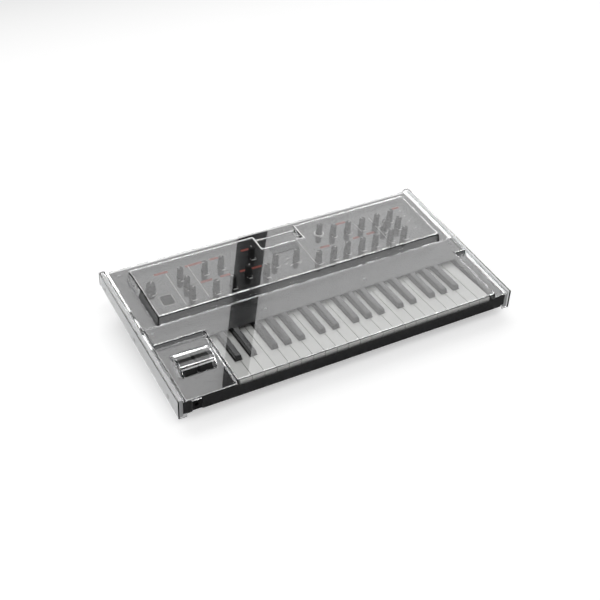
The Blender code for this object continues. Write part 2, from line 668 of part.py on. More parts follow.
def cover_hood(inset):
    """The raised hood over the knobs, with leaning walls."""
    sheet = SHEET_FRONT - inset
    loops = []
    for lean, low in ((0, sheet - COVER_LIFT / 2), (HOOD_DRAFT, sheet + HOOD_RISE)):
        drawn_in = inset + lean
        half = PANEL_HALF + HOOD_SIDE_MARGIN - drawn_in
        outline = rectangle(-half, half, HOOD_FRONT + drawn_in, HOOD_REAR - drawn_in)
        loops.append([(x, y, rise(low, y)) for x, y in outline])
    made = bmesh.new()
    loop_faces(made, loops)
    return made


def cover_mass(inset, name):
    """The cover's outer form, or with an inset of one wall the space inside it."""
    sheet = SHEET_FRONT - inset
    front = -COVER_HALF_Y + inset
    step = DECK_EDGE + ISLAND_STEP + inset
    back = DECK_EDGE + ISLAND_REAR - inset
    side_x = COVER_HALF_X - ISLAND_SIDE_INSET - inset
    left = KEYS_LEFT - ISLAND_LEFT_MARGIN + inset
    right = KEYS_RIGHT + ISLAND_RIGHT_MARGIN - inset
    island = [(left, front), (right, front), (right, step), (side_x, step), (side_x, back),
              (-side_x, back), (-side_x, step), (left, step)]
    dome_left = PITCH_X - WHEEL_WIDTH / 2 - DOME_MARGIN + inset
    dome_right = MOD_X + WHEEL_WIDTH / 2 + DOME_MARGIN - inset
    notch_half = NOTCH_HALF_WIDTH + inset
    notch_floor = sheet + HOOD_RISE - NOTCH_DEPTH
    notch = rectangle(-notch_half, notch_half, HOOD_REAR - NOTCH_LENGTH - inset,
                      COVER_HALF_Y + COVER_WALL)
    hood = add_object(name + "_hood", cover_hood(inset), None)
    combine(hood, add_object(name + "_notch", sheet_block(notch, notch_floor, sheet + 2 * HOOD_RISE),
                             None), "DIFFERENCE")
    additions = {
        "island": add_object(name + "_island", sheet_block(island, sheet - COVER_LIFT / 2,
                                                           sheet + ISLAND_RISE), None),
        "dome": add_object(name + "_dome", side_prism(dome_outline(inset), dome_left, dome_right),
                           None),
        "hood": hood,
    }
    mass = add_object(name, cover_body(inset), "clear_cover")
    for addition in additions.values():
        combine(mass, addition, "UNION")
    return mass


def make_dust_cover():
    """The clear cover: one wall thick all over, open below, cut away for plugs and cables."""
    cover = cover_mass(0, "dust_cover")
    combine(cover, cover_mass(COVER_WALL, "cover_inside"), "DIFFERENCE")
    wall_front = -COVER_HALF_Y - COVER_WALL
    wall_back = -COVER_HALF_Y + COVER_WALL + COVER_END_GAP / 2
    half = COVER_HALF_X - CORNER_FOOT
    trim = box(-half, half, wall_front, wall_back, -BOTTOMLESS, FRONT_WALL_BOTTOM)
    combine(cover, add_object("front_trim", trim, None), "DIFFERENCE")
    plug_half = PLUG_CUTOUT / 2
    plug_top = rise(SHEET_FRONT - COVER_WALL, -COVER_HALF_Y) - PLUG_CUTOUT_TOP
    plug = box(JACK_X - plug_half, JACK_X + plug_half, wall_front, wall_back, 0, plug_top)
    combine(cover, add_object("plug_cutout", plug, None), "DIFFERENCE")
    cable_top = rise(SHEET_FRONT - COVER_WALL, COVER_HALF_Y) - CABLE_CUTOUT_TOP
    cables = box(-CABLE_CUTOUT / 2, CABLE_CUTOUT / 2, -wall_back, -wall_front, 0, cable_top)
    combine(cover, add_object("cable_cutout", cables, None), "DIFFERENCE")


def clear_scene():
    """Remove whatever the scene held."""
    for old in list(bpy.data.objects):
        bpy.data.objects.remove(old, do_unlink=True)


def main():
    """Build every piece."""
    clear_scene()
    make_tray()
    make_top_case()
    make_front_rail()
    make_cheeks()
    make_rear_panel()
    make_feet()
    make_key_bed()
    make_main_board()
    make_headphone_jack()
    make_keys()
    make_wheel("pitch_wheel", PITCH_X)
    make_wheel("mod_wheel", MOD_X)
    make_wheel_bracket()
    make_control_panel()
    make_display()
    make_knob("volume_knob", KNOB_PLACES["volume"], VOLUME_RADIUS, VOLUME_HEIGHT)
    for name in ("value", "cutoff", "resonance"):
        make_knob(name + "_knob", KNOB_PLACES[name], KNOB_RADIUS, KNOB_HEIGHT)
    make_dust_cover()


main()
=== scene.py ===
"""Looks of a compact 37-key synthesizer under its clear dust cover.

Metres, +Z up, +X to the player's right, +Y to the back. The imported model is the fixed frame; each
class below models and dresses one sub-assembly around it.
"""
import logging
from collections.abc import Callable, Iterator, Sequence
from contextlib import contextmanager
from dataclasses import dataclass
from enum import Enum
from math import atan, cos, pi, radians, sin

import bmesh
import bpy
from mathutils import Matrix, Vector


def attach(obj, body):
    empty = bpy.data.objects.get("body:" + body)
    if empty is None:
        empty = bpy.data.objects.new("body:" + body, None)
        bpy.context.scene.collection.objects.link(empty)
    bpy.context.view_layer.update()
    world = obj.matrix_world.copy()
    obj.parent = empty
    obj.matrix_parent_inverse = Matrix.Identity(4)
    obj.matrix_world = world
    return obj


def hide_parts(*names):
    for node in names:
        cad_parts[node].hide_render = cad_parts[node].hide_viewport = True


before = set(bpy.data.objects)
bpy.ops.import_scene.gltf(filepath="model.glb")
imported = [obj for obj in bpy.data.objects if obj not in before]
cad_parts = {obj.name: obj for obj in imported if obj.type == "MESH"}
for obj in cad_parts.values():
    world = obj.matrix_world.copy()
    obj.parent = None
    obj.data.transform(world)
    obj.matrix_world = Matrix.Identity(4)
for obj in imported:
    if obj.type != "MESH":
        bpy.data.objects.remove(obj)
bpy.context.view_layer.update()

log = logging.getLogger("synthesizer")
Colour = tuple[float, float, float]


class Slot(Enum):
    """The record's material slots."""

    CASE = "black_case"
    PANEL = "panel_black"
    CHEEK = "silver_cheek"
    WHITE_KEY = "white_key"
    BLACK_KEY = "black_key"
    COVER = "clear_cover"
    KNOB = "knob_rubber"
    WHEEL = "wheel_plastic"
    STEEL = "steel"
    BOARD = "board_green"
    FOOT = "foot_rubber"
    DISPLAY = "display_glass"


# ---------------------------------------------------------------- the sloping deck
@dataclass(frozen=True)
class Deck:
    """The deck's plane, which rises to the back.

    Attributes:
        front: Where the deck starts, along Y.
        height: Its height there.
        slope: Rise for each metre to the back.
        panel_lift: Top of the control panel above the deck.
    """

    front: float = -0.1705
    height: float = 0.0444
    slope: float = 0.0869
    panel_lift: float = 0.0011

    def level(self, y: float, lift: float = 0.0) -> float:
        """Height of the deck at `y`, raised by `lift`."""
        return self.height + lift + self.slope * (y - self.front)

    def seat(self, x: float, y: float, lift: float = 0.0) -> Matrix:
        """Frame that stands square on the deck at (x, y), raised by `lift`."""
        tilt = Matrix.Rotation(atan(self.slope), 4, "X")
        return Matrix.Translation((x, y, self.level(y, lift))) @ tilt


DECK = Deck()


# ---------------------------------------------------------------- modelling helpers
def take(piece: bpy.types.Object) -> None:
    """Make `piece` the only selected object, and the active one."""
    if bpy.context.object is not None and bpy.context.object.mode != "OBJECT":
        bpy.ops.object.mode_set(mode="OBJECT")
    bpy.ops.object.select_all(action="DESELECT")
    piece.select_set(True)
    bpy.context.view_layer.objects.active = piece


@contextmanager
def editing(piece: bpy.types.Object) -> Iterator[None]:
    """Work on `piece` in edit mode, picking faces."""
    take(piece)
    bpy.context.scene.tool_settings.mesh_select_mode = (False, False, True)
    bpy.ops.object.mode_set(mode="EDIT")
    yield
    bpy.ops.object.mode_set(mode="OBJECT")


def pick_faces(piece: bpy.types.Object, test: Callable[[Vector, Vector], bool]) -> None:
    """Select faces by place and normal, from edit mode.

    Args:
        piece: The mesh object that is being edited.
        test: Takes a face's middle and normal, and says whether it is wanted.
    """
    bpy.ops.object.mode_set(mode="OBJECT")
    mesh = piece.data
    for part in (mesh.vertices, mesh.edges):
        part.foreach_set("select", [False] * len(part))
    mesh.polygons.foreach_set("select", [test(face.center, face.normal) for face in mesh.polygons])
    bpy.ops.object.mode_set(mode="EDIT")


def round_folds(piece: bpy.types.Object, widest: float,
                width: Callable[[Vector, Vector, bool], float], angle: float = 25) -> None:
    """Round each fold of `piece` by its own width, and keep its flats flat in shading.

    Args:
        piece: The mesh object.
        widest: The largest rounding.
        width: Takes a fold's middle, the mean of its faces' normals and whether it is hollow,
            and gives its rounding.
        angle: Least turn, in degrees, of an edge that is rounded.
    """
    take(piece)
    bpy.ops.object.shade_smooth()
    shape = bmesh.new()
    shape.from_mesh(piece.data)
    share = shape.edges.layers.float.new("bevel_weight_edge")
    for edge in shape.edges:
        first, second = (face.normal for face in edge.link_faces)
        if first.angle(second, 0.0) > radians(angle):
            middle = (edge.verts[0].co + edge.verts[1].co) / 2
            edge[share] = width(middle, (first + second) / 2, not edge.is_convex) / widest
    shape.to_mesh(piece.data)
    shape.free()
    modify(piece, "BEVEL", width=widest, segments=4, limit_method="WEIGHT", profile=0.5,
           use_clamp_overlap=False, face_strength_mode="FSTR_ALL")
    modify(piece, "WEIGHTED_NORMAL", weight=50, use_face_influence=True)


def modify(piece: bpy.types.Object, kind: str, **settings: object) -> None:
    """Add a modifier to `piece` and apply it.

    Args:
        piece: The object to change.
        kind: The modifier's type.
        **settings: Its properties by name.
    """
    take(piece)
    modifier = piece.modifiers.new(kind.lower(), kind)
    for name, value in settings.items():
        setattr(modifier, name, value)
    bpy.ops.object.modifier_apply(modifier=modifier.name)


def cut(piece: bpy.types.Object, cutter: bpy.types.Object) -> None:
    """Cut `cutter` out of `piece` and remove it."""
    modify(piece, "BOOLEAN", object=cutter, operation="DIFFERENCE", solver="EXACT")
    bpy.data.objects.remove(cutter)


def round_edges(piece: bpy.types.Object, width: float, segments: int = 2, angle: float = 30) -> None:
    """Round every edge of `piece` that turns by more than `angle` degrees."""
    modify(piece, "BEVEL", width=width, segments=segments, limit_method="ANGLE",
           angle_limit=radians(angle), use_clamp_overlap=True, profile=0.5)


def smooth(piece: bpy.types.Object, angle: float = 35) -> None:
    """Shade `piece` smooth up to `angle` degrees."""
    take(piece)
    bpy.ops.object.shade_smooth_by_angle(angle=radians(angle))


def settle(piece: bpy.types.Object, place: Matrix | None = None) -> None:
    """Move `piece` by `place` and fold its transform into its mesh."""
    take(piece)
    if place is not None:
        piece.matrix_world = place @ piece.matrix_world
        bpy.context.view_layer.update()
    bpy.ops.object.transform_apply(location=True, rotation=True, scale=True)


def copied(piece: bpy.types.Object, name: str) -> bpy.types.Object:
    """A copy of `piece` with its own mesh."""
    twin = bpy.data.objects.new(name, piece.data.copy())
    bpy.context.scene.collection.objects.link(twin)
    return twin


def joined(name: str, pieces: Sequence[bpy.types.Object]) -> bpy.types.Object:
    """Join `pieces` into the first of them, called `name`."""
    take(pieces[0])
    for piece in pieces:
        piece.select_set(True)
    if len(pieces) > 1:
        bpy.ops.object.join()
    pieces[0].name = name
    return pieces[0]


def paint(piece: bpy.types.Object, finish: "Finish") -> None:
    """Give `piece` the one finish."""
    piece.data.materials.clear()
    piece.data.materials.append(finish.build())


def dressed(piece: bpy.types.Object, body: str, finish: "Finish | None", slot: Slot,
            *stands_for: str) -> bpy.types.Object:
    """Give a finished piece its look and its body, and hide the CAD nodes that it replaces.

    Args:
        piece: The finished mesh object.
        body: The CAD body that it rides on.
        finish: Its finish, or None if its faces already have one.
        slot: Not used.
        *stands_for: CAD nodes that it replaces.

    Returns:
        The same object.
    """
    if finish is not None:
        paint(piece, finish)
    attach(piece, body)
    if stands_for:
        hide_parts(*stands_for)
    return piece


def merged(node: str, name: str) -> bpy.types.Object:
    """A copy of a CAD node called `name`, its triangles merged into faces."""
    piece = copied(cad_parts[node], name)
    with editing(piece):
        bpy.ops.mesh.select_all(action="SELECT")
        bpy.ops.mesh.remove_doubles(threshold=1e-6)
        bpy.ops.mesh.dissolve_limited(angle_limit=radians(0.5))
    bpy.ops.mesh.customdata_custom_splitnormals_clear()
    return piece


def softened(node: str, name: str, width: float, segments: int = 2, angle: float = 30,
             shade: float = 35) -> bpy.types.Object:
    """A copy of a CAD node with its triangles merged into faces and its edges rounded.

    Args:
        node: The CAD node.
        name: The new piece's name.
        width: How far each rounding reaches from its edge.
        segments: Steps across each rounding.
        angle: Least turn, in degrees, of an edge that is rounded.
        shade: Largest turn, in degrees, that is shaded smooth.

    Returns:
        The new object, at the origin.
    """
    piece = merged(node, name)
    round_edges(piece, width, segments, angle)
    smooth(piece, shade)
    modify(piece, "WEIGHTED_NORMAL", weight=100, keep_sharp=True)
    return piece


def slab(x: float, y: float, width: float, depth: float, height: float,
         corner: float = 0.0) -> bpy.types.Object:
    """A flat slab standing on Z = 0, with round corners in plan.

    Args:
        x: Middle along X.
        y: Middle along Y.
        width: Size along X.
        depth: Size along Y.
        height: Size along Z.
        corner: Radius of its upright edges.

    Returns:
        The new object.
    """
    bpy.ops.mesh.primitive_plane_add(size=1, location=(x, y, 0))
    piece = bpy.context.object
    piece.scale = (width, depth, 1)
    settle(piece)
    with editing(piece):
        bpy.ops.mesh.select_all(action="SELECT")
        if corner:
            bpy.ops.mesh.bevel(offset=corner, segments=4, affect="VERTICES")
        bpy.ops.mesh.extrude_region_move(TRANSFORM_OT_translate={"value": (0, 0, height)})
        bpy.ops.mesh.select_all(action="SELECT")
        bpy.ops.mesh.normals_make_consistent(inside=False)
    return piece


def turned(profile: Sequence[tuple[float, float]], steps: int = 32) -> bpy.types.Object:
    """Spin a radius and height profile round Z into a closed body.

    Args:
        profile: Points as (radius, height), from the bottom up.
        steps: Facets round the body.

    Returns:
        The new object.
    """
    bpy.ops.mesh.primitive_circle_add(vertices=steps, radius=profile[0][0], fill_type="NGON",
                                      location=(0, 0, profile[0][1]))
    piece = bpy.context.object
    settle(piece)
    with editing(piece):
        bpy.ops.mesh.select_all(action="SELECT")
        for (radius, height), (wide, high) in zip(profile, profile[1:]):
            bpy.ops.mesh.extrude_region_move(
                TRANSFORM_OT_translate={"value": (0, 0, high - height)})
            scale = wide / radius
            bpy.ops.transform.resize(value=(scale, scale, 1), center_override=(0, 0, high))
        bpy.ops.mesh.select_all(action="SELECT")
        bpy.ops.mesh.normals_make_consistent(inside=False)
    return piece


# ---------------------------------------------------------------- node building
class Nodes:
    """A short way to fill a node tree."""

    def __init__(self, tree: bpy.types.NodeTree) -> None:
        """Start on `tree`."""
        self.tree = tree

    def add(self, kind: str, inputs: dict[str | int, object] | None = None,
            **settings: object) -> bpy.types.Node:
        """Add a node.

        Args:
            kind: Its type without the ShaderNode prefix.
            inputs: Values or output sockets for its inputs.
            **settings: Its own properties.

        Returns:
            The node.
        """
        node = self.tree.nodes.new("ShaderNode" + kind)
        for name, value in settings.items():
            setattr(node, name, value)
        for name, value in (inputs or {}).items():
            if isinstance(value, bpy.types.NodeSocket):
                self.tree.links.new(value, node.inputs[name])
            else:
                node.inputs[name].default_value = value
        return node

    def math(self, operation: str, *values: object) -> bpy.types.NodeSocket:
        """The result of a Math node on `values`."""
        inputs = dict(enumerate(values))
        return self.add("Math", inputs, operation=operation).outputs[0]

    def span(self, value: bpy.types.NodeSocket, low: float, high: float) -> bpy.types.NodeSocket:
        """`value` from 0 to 1 stretched over low to high."""
        node = self.add("MapRange", {"Value": value, "To Min": low, "To Max": high})
        return node.outputs[0]

    def blend(self, mask: bpy.types.NodeSocket, first: Colour, second: Colour) -> bpy.types.NodeSocket:
        """A colour from `first` to `second` by `mask`."""
        node = self.add("Mix", {0: mask}, data_type="RGBA")
        node.inputs[6].default_value = (*first, 1)
        node.inputs[7].default_value = (*second, 1)
        return node.outputs[2]


@dataclass(frozen=True)
class Effect:
    """A shared effect: a node group that is built once.

    Attributes:
        name: The group's name.
        inputs: Its inputs as (name, socket type, default).
        outputs: Names of its outputs, all of them values.
        fill: Draws the group, given its nodes, input node and output node.
    """

    name: str
    inputs: tuple[tuple[str, str, object], ...]
    outputs: tuple[str, ...]
    fill: Callable[[Nodes, bpy.types.Node, bpy.types.Node], None]

    def group(self) -> bpy.types.NodeTree:
        """The group, made the first time it is asked for."""
        if self.name in bpy.data.node_groups:
            return bpy.data.node_groups[self.name]
        tree = bpy.data.node_groups.new(self.name, "ShaderNodeTree")
        for name, kind, default in self.inputs:
            socket = tree.interface.new_socket(name, in_out="INPUT", socket_type=kind)
            if default is not None:
                socket.default_value = default
        for name in self.outputs:
            tree.interface.new_socket(name, in_out="OUTPUT", socket_type="NodeSocketFloat")
        self.fill(Nodes(tree), tree.nodes.new("NodeGroupInput"), tree.nodes.new("NodeGroupOutput"))
        return tree

    def use(self, nodes: Nodes, **values: object) -> bpy.types.Node:
        """Place the effect in a material, with `values` for its inputs."""
        node = nodes.add("Group", node_tree=self.group())
        for name, value in values.items():
            socket = node.inputs[name.replace("_", " ")]
            if isinstance(value, bpy.types.NodeSocket):
                nodes.tree.links.new(value, socket)
            else:
                socket.default_value = value
        return node


def fill_grain(nodes: Nodes, taken: bpy.types.Node, given: bpy.types.Node) -> None:
    """Draw moulded grain: a fine pebble over slow mottling."""
    fine = nodes.add("TexVoronoi", {"Vector": taken.outputs["Vector"],
                                    "Scale": taken.outputs["Pebbles"]}, feature="SMOOTH_F1")
    haze = nodes.add("TexNoise", {"Vector": taken.outputs["Vector"],
                                  "Scale": taken.outputs["Pebbles"], "Detail": 3.0})
    slow = nodes.add("TexNoise", {"Vector": taken.outputs["Vector"],
                                  "Scale": taken.outputs["Mottling"], "Detail": 4.0,
                                  "Roughness": 0.6})
    height = nodes.math("MULTIPLY_ADD", fine.outputs["Distance"], 0.6,
                        nodes.math("MULTIPLY", haze.outputs[0], 0.4))
    nodes.tree.links.new(height, given.inputs["Height"])
    nodes.tree.links.new(slow.outputs[0], given.inputs["Mottle"])


def fill_handling(nodes: Nodes, taken: bpy.types.Node, given: bpy.types.Node) -> None:
    """Draw handling marks: smeared patches crossed by hair-fine rubs."""
    patches = nodes.add("TexNoise", {"Vector": taken.outputs["Vector"],
                                     "Scale": taken.outputs["Patches"], "Detail": 5.0,
                                     "Roughness": 0.55, "Distortion": 0.6})
    stretch = nodes.add("Mapping", {"Vector": taken.outputs["Vector"], "Scale": (1.0, 18.0, 6.0),
                                    "Rotation": (0.0, 0.0, 0.5)})
    rubs = nodes.add("TexNoise", {"Vector": stretch.outputs[0],
                                  "Scale": taken.outputs["Rubs"], "Detail": 2.0})
    mask = nodes.add("MapRange", {"Value": patches.outputs[0], "From Min": 0.45, "From Max": 0.75})
    thin = nodes.add("MapRange", {"Value": rubs.outputs[0], "From Min": 0.62, "From Max": 0.80})
    nodes.tree.links.new(mask.outputs[0], given.inputs["Smear"])
    nodes.tree.links.new(thin.outputs[0], given.inputs["Rub"])


GRAIN = Effect("moulded_grain",
               (("Vector", "NodeSocketVector", None), ("Pebbles", "NodeSocketFloat", 900.0),
                ("Mottling", "NodeSocketFloat", 14.0)),
               ("Height", "Mottle"), fill_grain)
HANDLING = Effect("handling_marks",
                  (("Vector", "NodeSocketVector", None), ("Patches", "NodeSocketFloat", 9.0),
                   ("Rubs", "NodeSocketFloat", 60.0)),
                  ("Smear", "Rub"), fill_handling)


# ---------------------------------------------------------------- finishes
@dataclass(frozen=True)
class Finish:
    """A material that is made once, and that each kind of finish draws in its own way.

    Attributes:
        name: The material's name.
    """

    name: str

    def build(self) -> bpy.types.Material:
        """The material, made the first time it is asked for."""
        if self.name in bpy.data.materials:
            return bpy.data.materials[self.name]
        made = bpy.data.materials.new(self.name)
        made.use_nodes = True
        self.draw(Nodes(made.node_tree), made.node_tree.nodes["Principled BSDF"])
        return made

    def draw(self, nodes: Nodes, shader: bpy.types.Node) -> None:
        """Draw the finish round its main shader."""
        raise NotImplementedError


@dataclass(frozen=True)
class Moulded(Finish):
    """Moulded or painted plastic, rubber and printed ink.

    Attributes:
        colour: Its usual colour.
        worn: The colour where mottling and smears are strongest.
        roughness: Least and greatest roughness.
        pebbles: How fine its grain is.
        relief: Depth of the grain in metres.
        coat: Weight of a clear coat.
        coat_roughness: Roughness of the coat.
        metallic: How metallic it is.
    """

    colour: Colour
    worn: Colour
    roughness: tuple[float, float] = (0.4, 0.55)
    pebbles: float = 900.0
    relief: float = 0.00002
    coat: float = 0.0
    coat_roughness: float = 0.1
    metallic: float = 0.0

    def draw(self, nodes: Nodes, shader: bpy.types.Node) -> None:
        """Draw the finish round its main shader."""
        place = nodes.add("TexCoord").outputs["Object"]
        grain = GRAIN.use(nodes, Vector=place, Pebbles=self.pebbles)
        marks = HANDLING.use(nodes, Vector=place)
        mask = nodes.math("MULTIPLY_ADD", marks.outputs["Smear"], 0.35,
                          nodes.math("MULTIPLY", grain.outputs["Mottle"], 0.65))
        links = nodes.tree.links
        links.new(nodes.blend(mask, self.colour, self.worn), shader.inputs["Base Color"])
        links.new(nodes.span(mask, *self.roughness), shader.inputs["Roughness"])
        bump = nodes.add("Bump", {"Strength": 0.6, "Distance": self.relief,
                                  "Height": grain.outputs["Height"]})
        links.new(bump.outputs[0], shader.inputs["Normal"])
        shader.inputs["Metallic"].default_value = self.metallic
        shader.inputs["Coat Weight"].default_value = self.coat
        shader.inputs["Coat Roughness"].default_value = self.coat_roughness


@dataclass(frozen=True)
class Brushed(Finish):
    """Metal brushed one way.

    Attributes:
        colour: Its usual colour.
        dull: The colour between the bright lines.
        roughness: Least and greatest roughness.
        stretch: How many times finer the lines are across X, Y and Z.
        metallic: How metallic it is.
    """

    colour: Colour
    dull: Colour
    roughness: tuple[float, float] = (0.28, 0.42)
    stretch: tuple[float, float, float] = (1.0, 1.0, 40.0)
    metallic: float = 1.0

    def draw(self, nodes: Nodes, shader: bpy.types.Node) -> None:
        """Draw the finish round its main shader."""
        place = nodes.add("TexCoord").outputs["Object"]
        along = nodes.add("Mapping", {"Vector": place, "Scale": self.stretch}).outputs[0]
        lines = nodes.add("TexNoise", {"Vector": along, "Scale": 60.0, "Detail": 4.0}).outputs[0]
        marks = HANDLING.use(nodes, Vector=place)
        mask = nodes.math("MULTIPLY_ADD", marks.outputs["Smear"], 0.3,
                          nodes.math("MULTIPLY", lines, 0.7))
        links = nodes.tree.links
        links.new(nodes.blend(mask, self.colour, self.dull), shader.inputs["Base Color"])
        links.new(nodes.span(mask, *self.roughness), shader.inputs["Roughness"])
        bump = nodes.add("Bump", {"Strength": 0.35, "Distance": 0.00002, "Height": lines})
        links.new(bump.outputs[0], shader.inputs["Normal"])
        shader.inputs["Metallic"].default_value = self.metallic


@dataclass(frozen=True)
class ClearSheet(Finish):
    """Clear polycarbonate with faint handling marks, which lets lamps through.

    Attributes:
        tint: Colour of what passes through a face.
        shade: Colour of what lamps send through a face.
        roughness: Least and greatest roughness.
        ior: How strongly it bends light.
    """

    tint: Colour = (0.976, 0.978, 0.978)
    shade: Colour = (0.95, 0.952, 0.952)
    roughness: tuple[float, float] = (0.0, 0.012)
    ior: float = 1.58

    def draw(self, nodes: Nodes, shader: bpy.types.Node) -> None:
        """Draw the finish round its main shader."""
        links = nodes.tree.links
        shader.inputs["Base Color"].default_value = (*self.tint, 1)
        shader.inputs["Transmission Weight"].default_value = 1
        shader.inputs["IOR"].default_value = self.ior
        marks = HANDLING.use(nodes, Vector=nodes.add("TexCoord").outputs["Object"], Patches=6.0)
        wear = nodes.math("MULTIPLY_ADD", marks.outputs["Rub"], 0.5,
                          nodes.math("MULTIPLY", marks.outputs["Smear"], 0.5))
        links.new(nodes.span(wear, *self.roughness), shader.inputs["Roughness"])
        path = nodes.add("LightPath")
        soft = nodes.math("MAXIMUM", path.outputs["Is Shadow Ray"],
                          path.outputs["Is Diffuse Ray"])
        under = nodes.math("GREATER_THAN", path.outputs["Transmission Depth"], 1.5)
        gloss_under = nodes.math("MULTIPLY", path.outputs["Is Glossy Ray"], under)
        open_to = nodes.math("MAXIMUM", soft, gloss_under)
        clear = nodes.add("BsdfTransparent", {"Color": (*self.shade, 1)})
        mix = nodes.add("MixShader", {0: open_to, 1: shader.outputs[0], 2: clear.outputs[0]})
        links.new(mix.outputs[0], nodes.tree.nodes["Material Output"].inputs["Surface"])


BLACK_CASE = Moulded("case_plastic", (0.009, 0.009, 0.0095), (0.015, 0.015, 0.016), (0.10, 0.20),
                     relief=0.000003, coat=0.8, coat_roughness=0.06)
PANEL_BLACK = Moulded("panel_paint", (0.009, 0.009, 0.0095), (0.014, 0.014, 0.015), (0.09, 0.17),
                      pebbles=1600.0, relief=0.000002, coat=1.0, coat_roughness=0.05)
CHEEK_PAINT = Moulded("silver_paint", (0.52, 0.525, 0.53), (0.45, 0.455, 0.46), (0.30, 0.44),
                      pebbles=2200.0, relief=0.000008, coat=0.2, coat_roughness=0.25, metallic=0.25)
WHITE_KEY = Moulded("white_key_plastic", (0.66, 0.66, 0.645), (0.60, 0.60, 0.58), (0.18, 0.32),
                    pebbles=700.0, relief=0.000004, coat=0.25, coat_roughness=0.12)
BLACK_KEY = Moulded("black_key_plastic", (0.010, 0.010, 0.011), (0.020, 0.020, 0.020),
                    (0.14, 0.26), pebbles=1500.0, relief=0.000003, coat=0.6, coat_roughness=0.08)
KNOB_RUBBER = Moulded("knob_rubber", (0.013, 0.013, 0.014), (0.030, 0.030, 0.031), (0.45, 0.66),
                      pebbles=2000.0, relief=0.00001)
WHEEL_PLASTIC = Moulded("wheel_plastic", (0.014, 0.014, 0.015), (0.030, 0.030, 0.030),
                        (0.22, 0.40), pebbles=1400.0, relief=0.000008, coat=0.3)
FOOT_RUBBER = Moulded("foot_rubber", (0.016, 0.016, 0.016), (0.045, 0.044, 0.042), (0.75, 0.92),
                      pebbles=1200.0, relief=0.00005)
BOARD_GREEN = Moulded("board_lacquer", (0.016, 0.085, 0.040), (0.030, 0.125, 0.060), (0.30, 0.45),
                      pebbles=600.0, relief=0.00003, coat=0.4)
INK_WHITE = Moulded("white_ink", (0.78, 0.78, 0.76), (0.62, 0.62, 0.60), (0.50, 0.66),
                    pebbles=2600.0, relief=0.000006)
INK_RED = Moulded("red_ink", (0.30, 0.042, 0.022), (0.24, 0.034, 0.018), (0.48, 0.62),
                  pebbles=2600.0, relief=0.000006)
DISPLAY_GLASS = Moulded("display_glass", (0.012, 0.017, 0.021), (0.020, 0.027, 0.033),
                        (0.04, 0.12), pebbles=300.0, relief=0.000002, coat=0.8,
                        coat_roughness=0.03)
LAMP_LENS = Moulded("lamp_lens", (0.88, 0.88, 0.87), (0.78, 0.78, 0.77), (0.12, 0.24),
                    pebbles=800.0, relief=0.000004, coat=0.6)
STEEL = Brushed("brushed_steel", (0.56, 0.56, 0.57), (0.42, 0.42, 0.43))
SCREW_BLACK = Brushed("black_oxide", (0.030, 0.030, 0.032), (0.016, 0.016, 0.017), (0.30, 0.46),
                      (1.0, 1.0, 8.0), 0.7)
COVER_CLEAR = ClearSheet("clear_polycarbonate")


# ---------------------------------------------------------------- fasteners
@dataclass
class CrossScrew:
    """A pan-head screw with a cross recess.

    Attributes:
        radius: Radius of its head.
        height: Height of its head.
    """

    radius: float = 0.0024
    height: float = 0.0011

    def head(self, name: str) -> bpy.types.Object:
        """Model one head, standing on Z = 0."""
        r, h = self.radius, self.height
        piece = turned([(r, 0), (r, h * 0.45), (r * 0.86, h * 0.82), (r * 0.55, h)], steps=20)
        piece.name = name
        arms = []
        for turn in (0, pi / 2):
            arm = slab(0, 0, r * 1.05, r * 0.24, h)
            arm.location.z = h * 0.45
            arm.rotation_euler.z = turn
            settle(arm)
            arms.append(arm)
        for arm in arms:
            cut(piece, arm)
        smooth(piece, 30)
        return piece


@dataclass
class SocketScrew:
    """A flat countersunk screw with a six-sided socket.

    Attributes:
        radius: Radius of its head.
        height: How far it stands proud.
    """

    radius: float = 0.0042
    height: float = 0.0005

    def head(self, name: str) -> bpy.types.Object:
        """Model one head, standing on Z = 0."""
        r, h = self.radius, self.height
        piece = turned([(r, -h), (r, h * 0.6), (r * 0.9, h)], steps=24)
        piece.name = name
        bpy.ops.mesh.primitive_cylinder_add(vertices=6, radius=r * 0.5, depth=h * 3,
                                            location=(0, 0, h * 1.2))
        socket = bpy.context.object
        settle(socket)
        cut(piece, socket)
        smooth(piece, 30)
        return piece


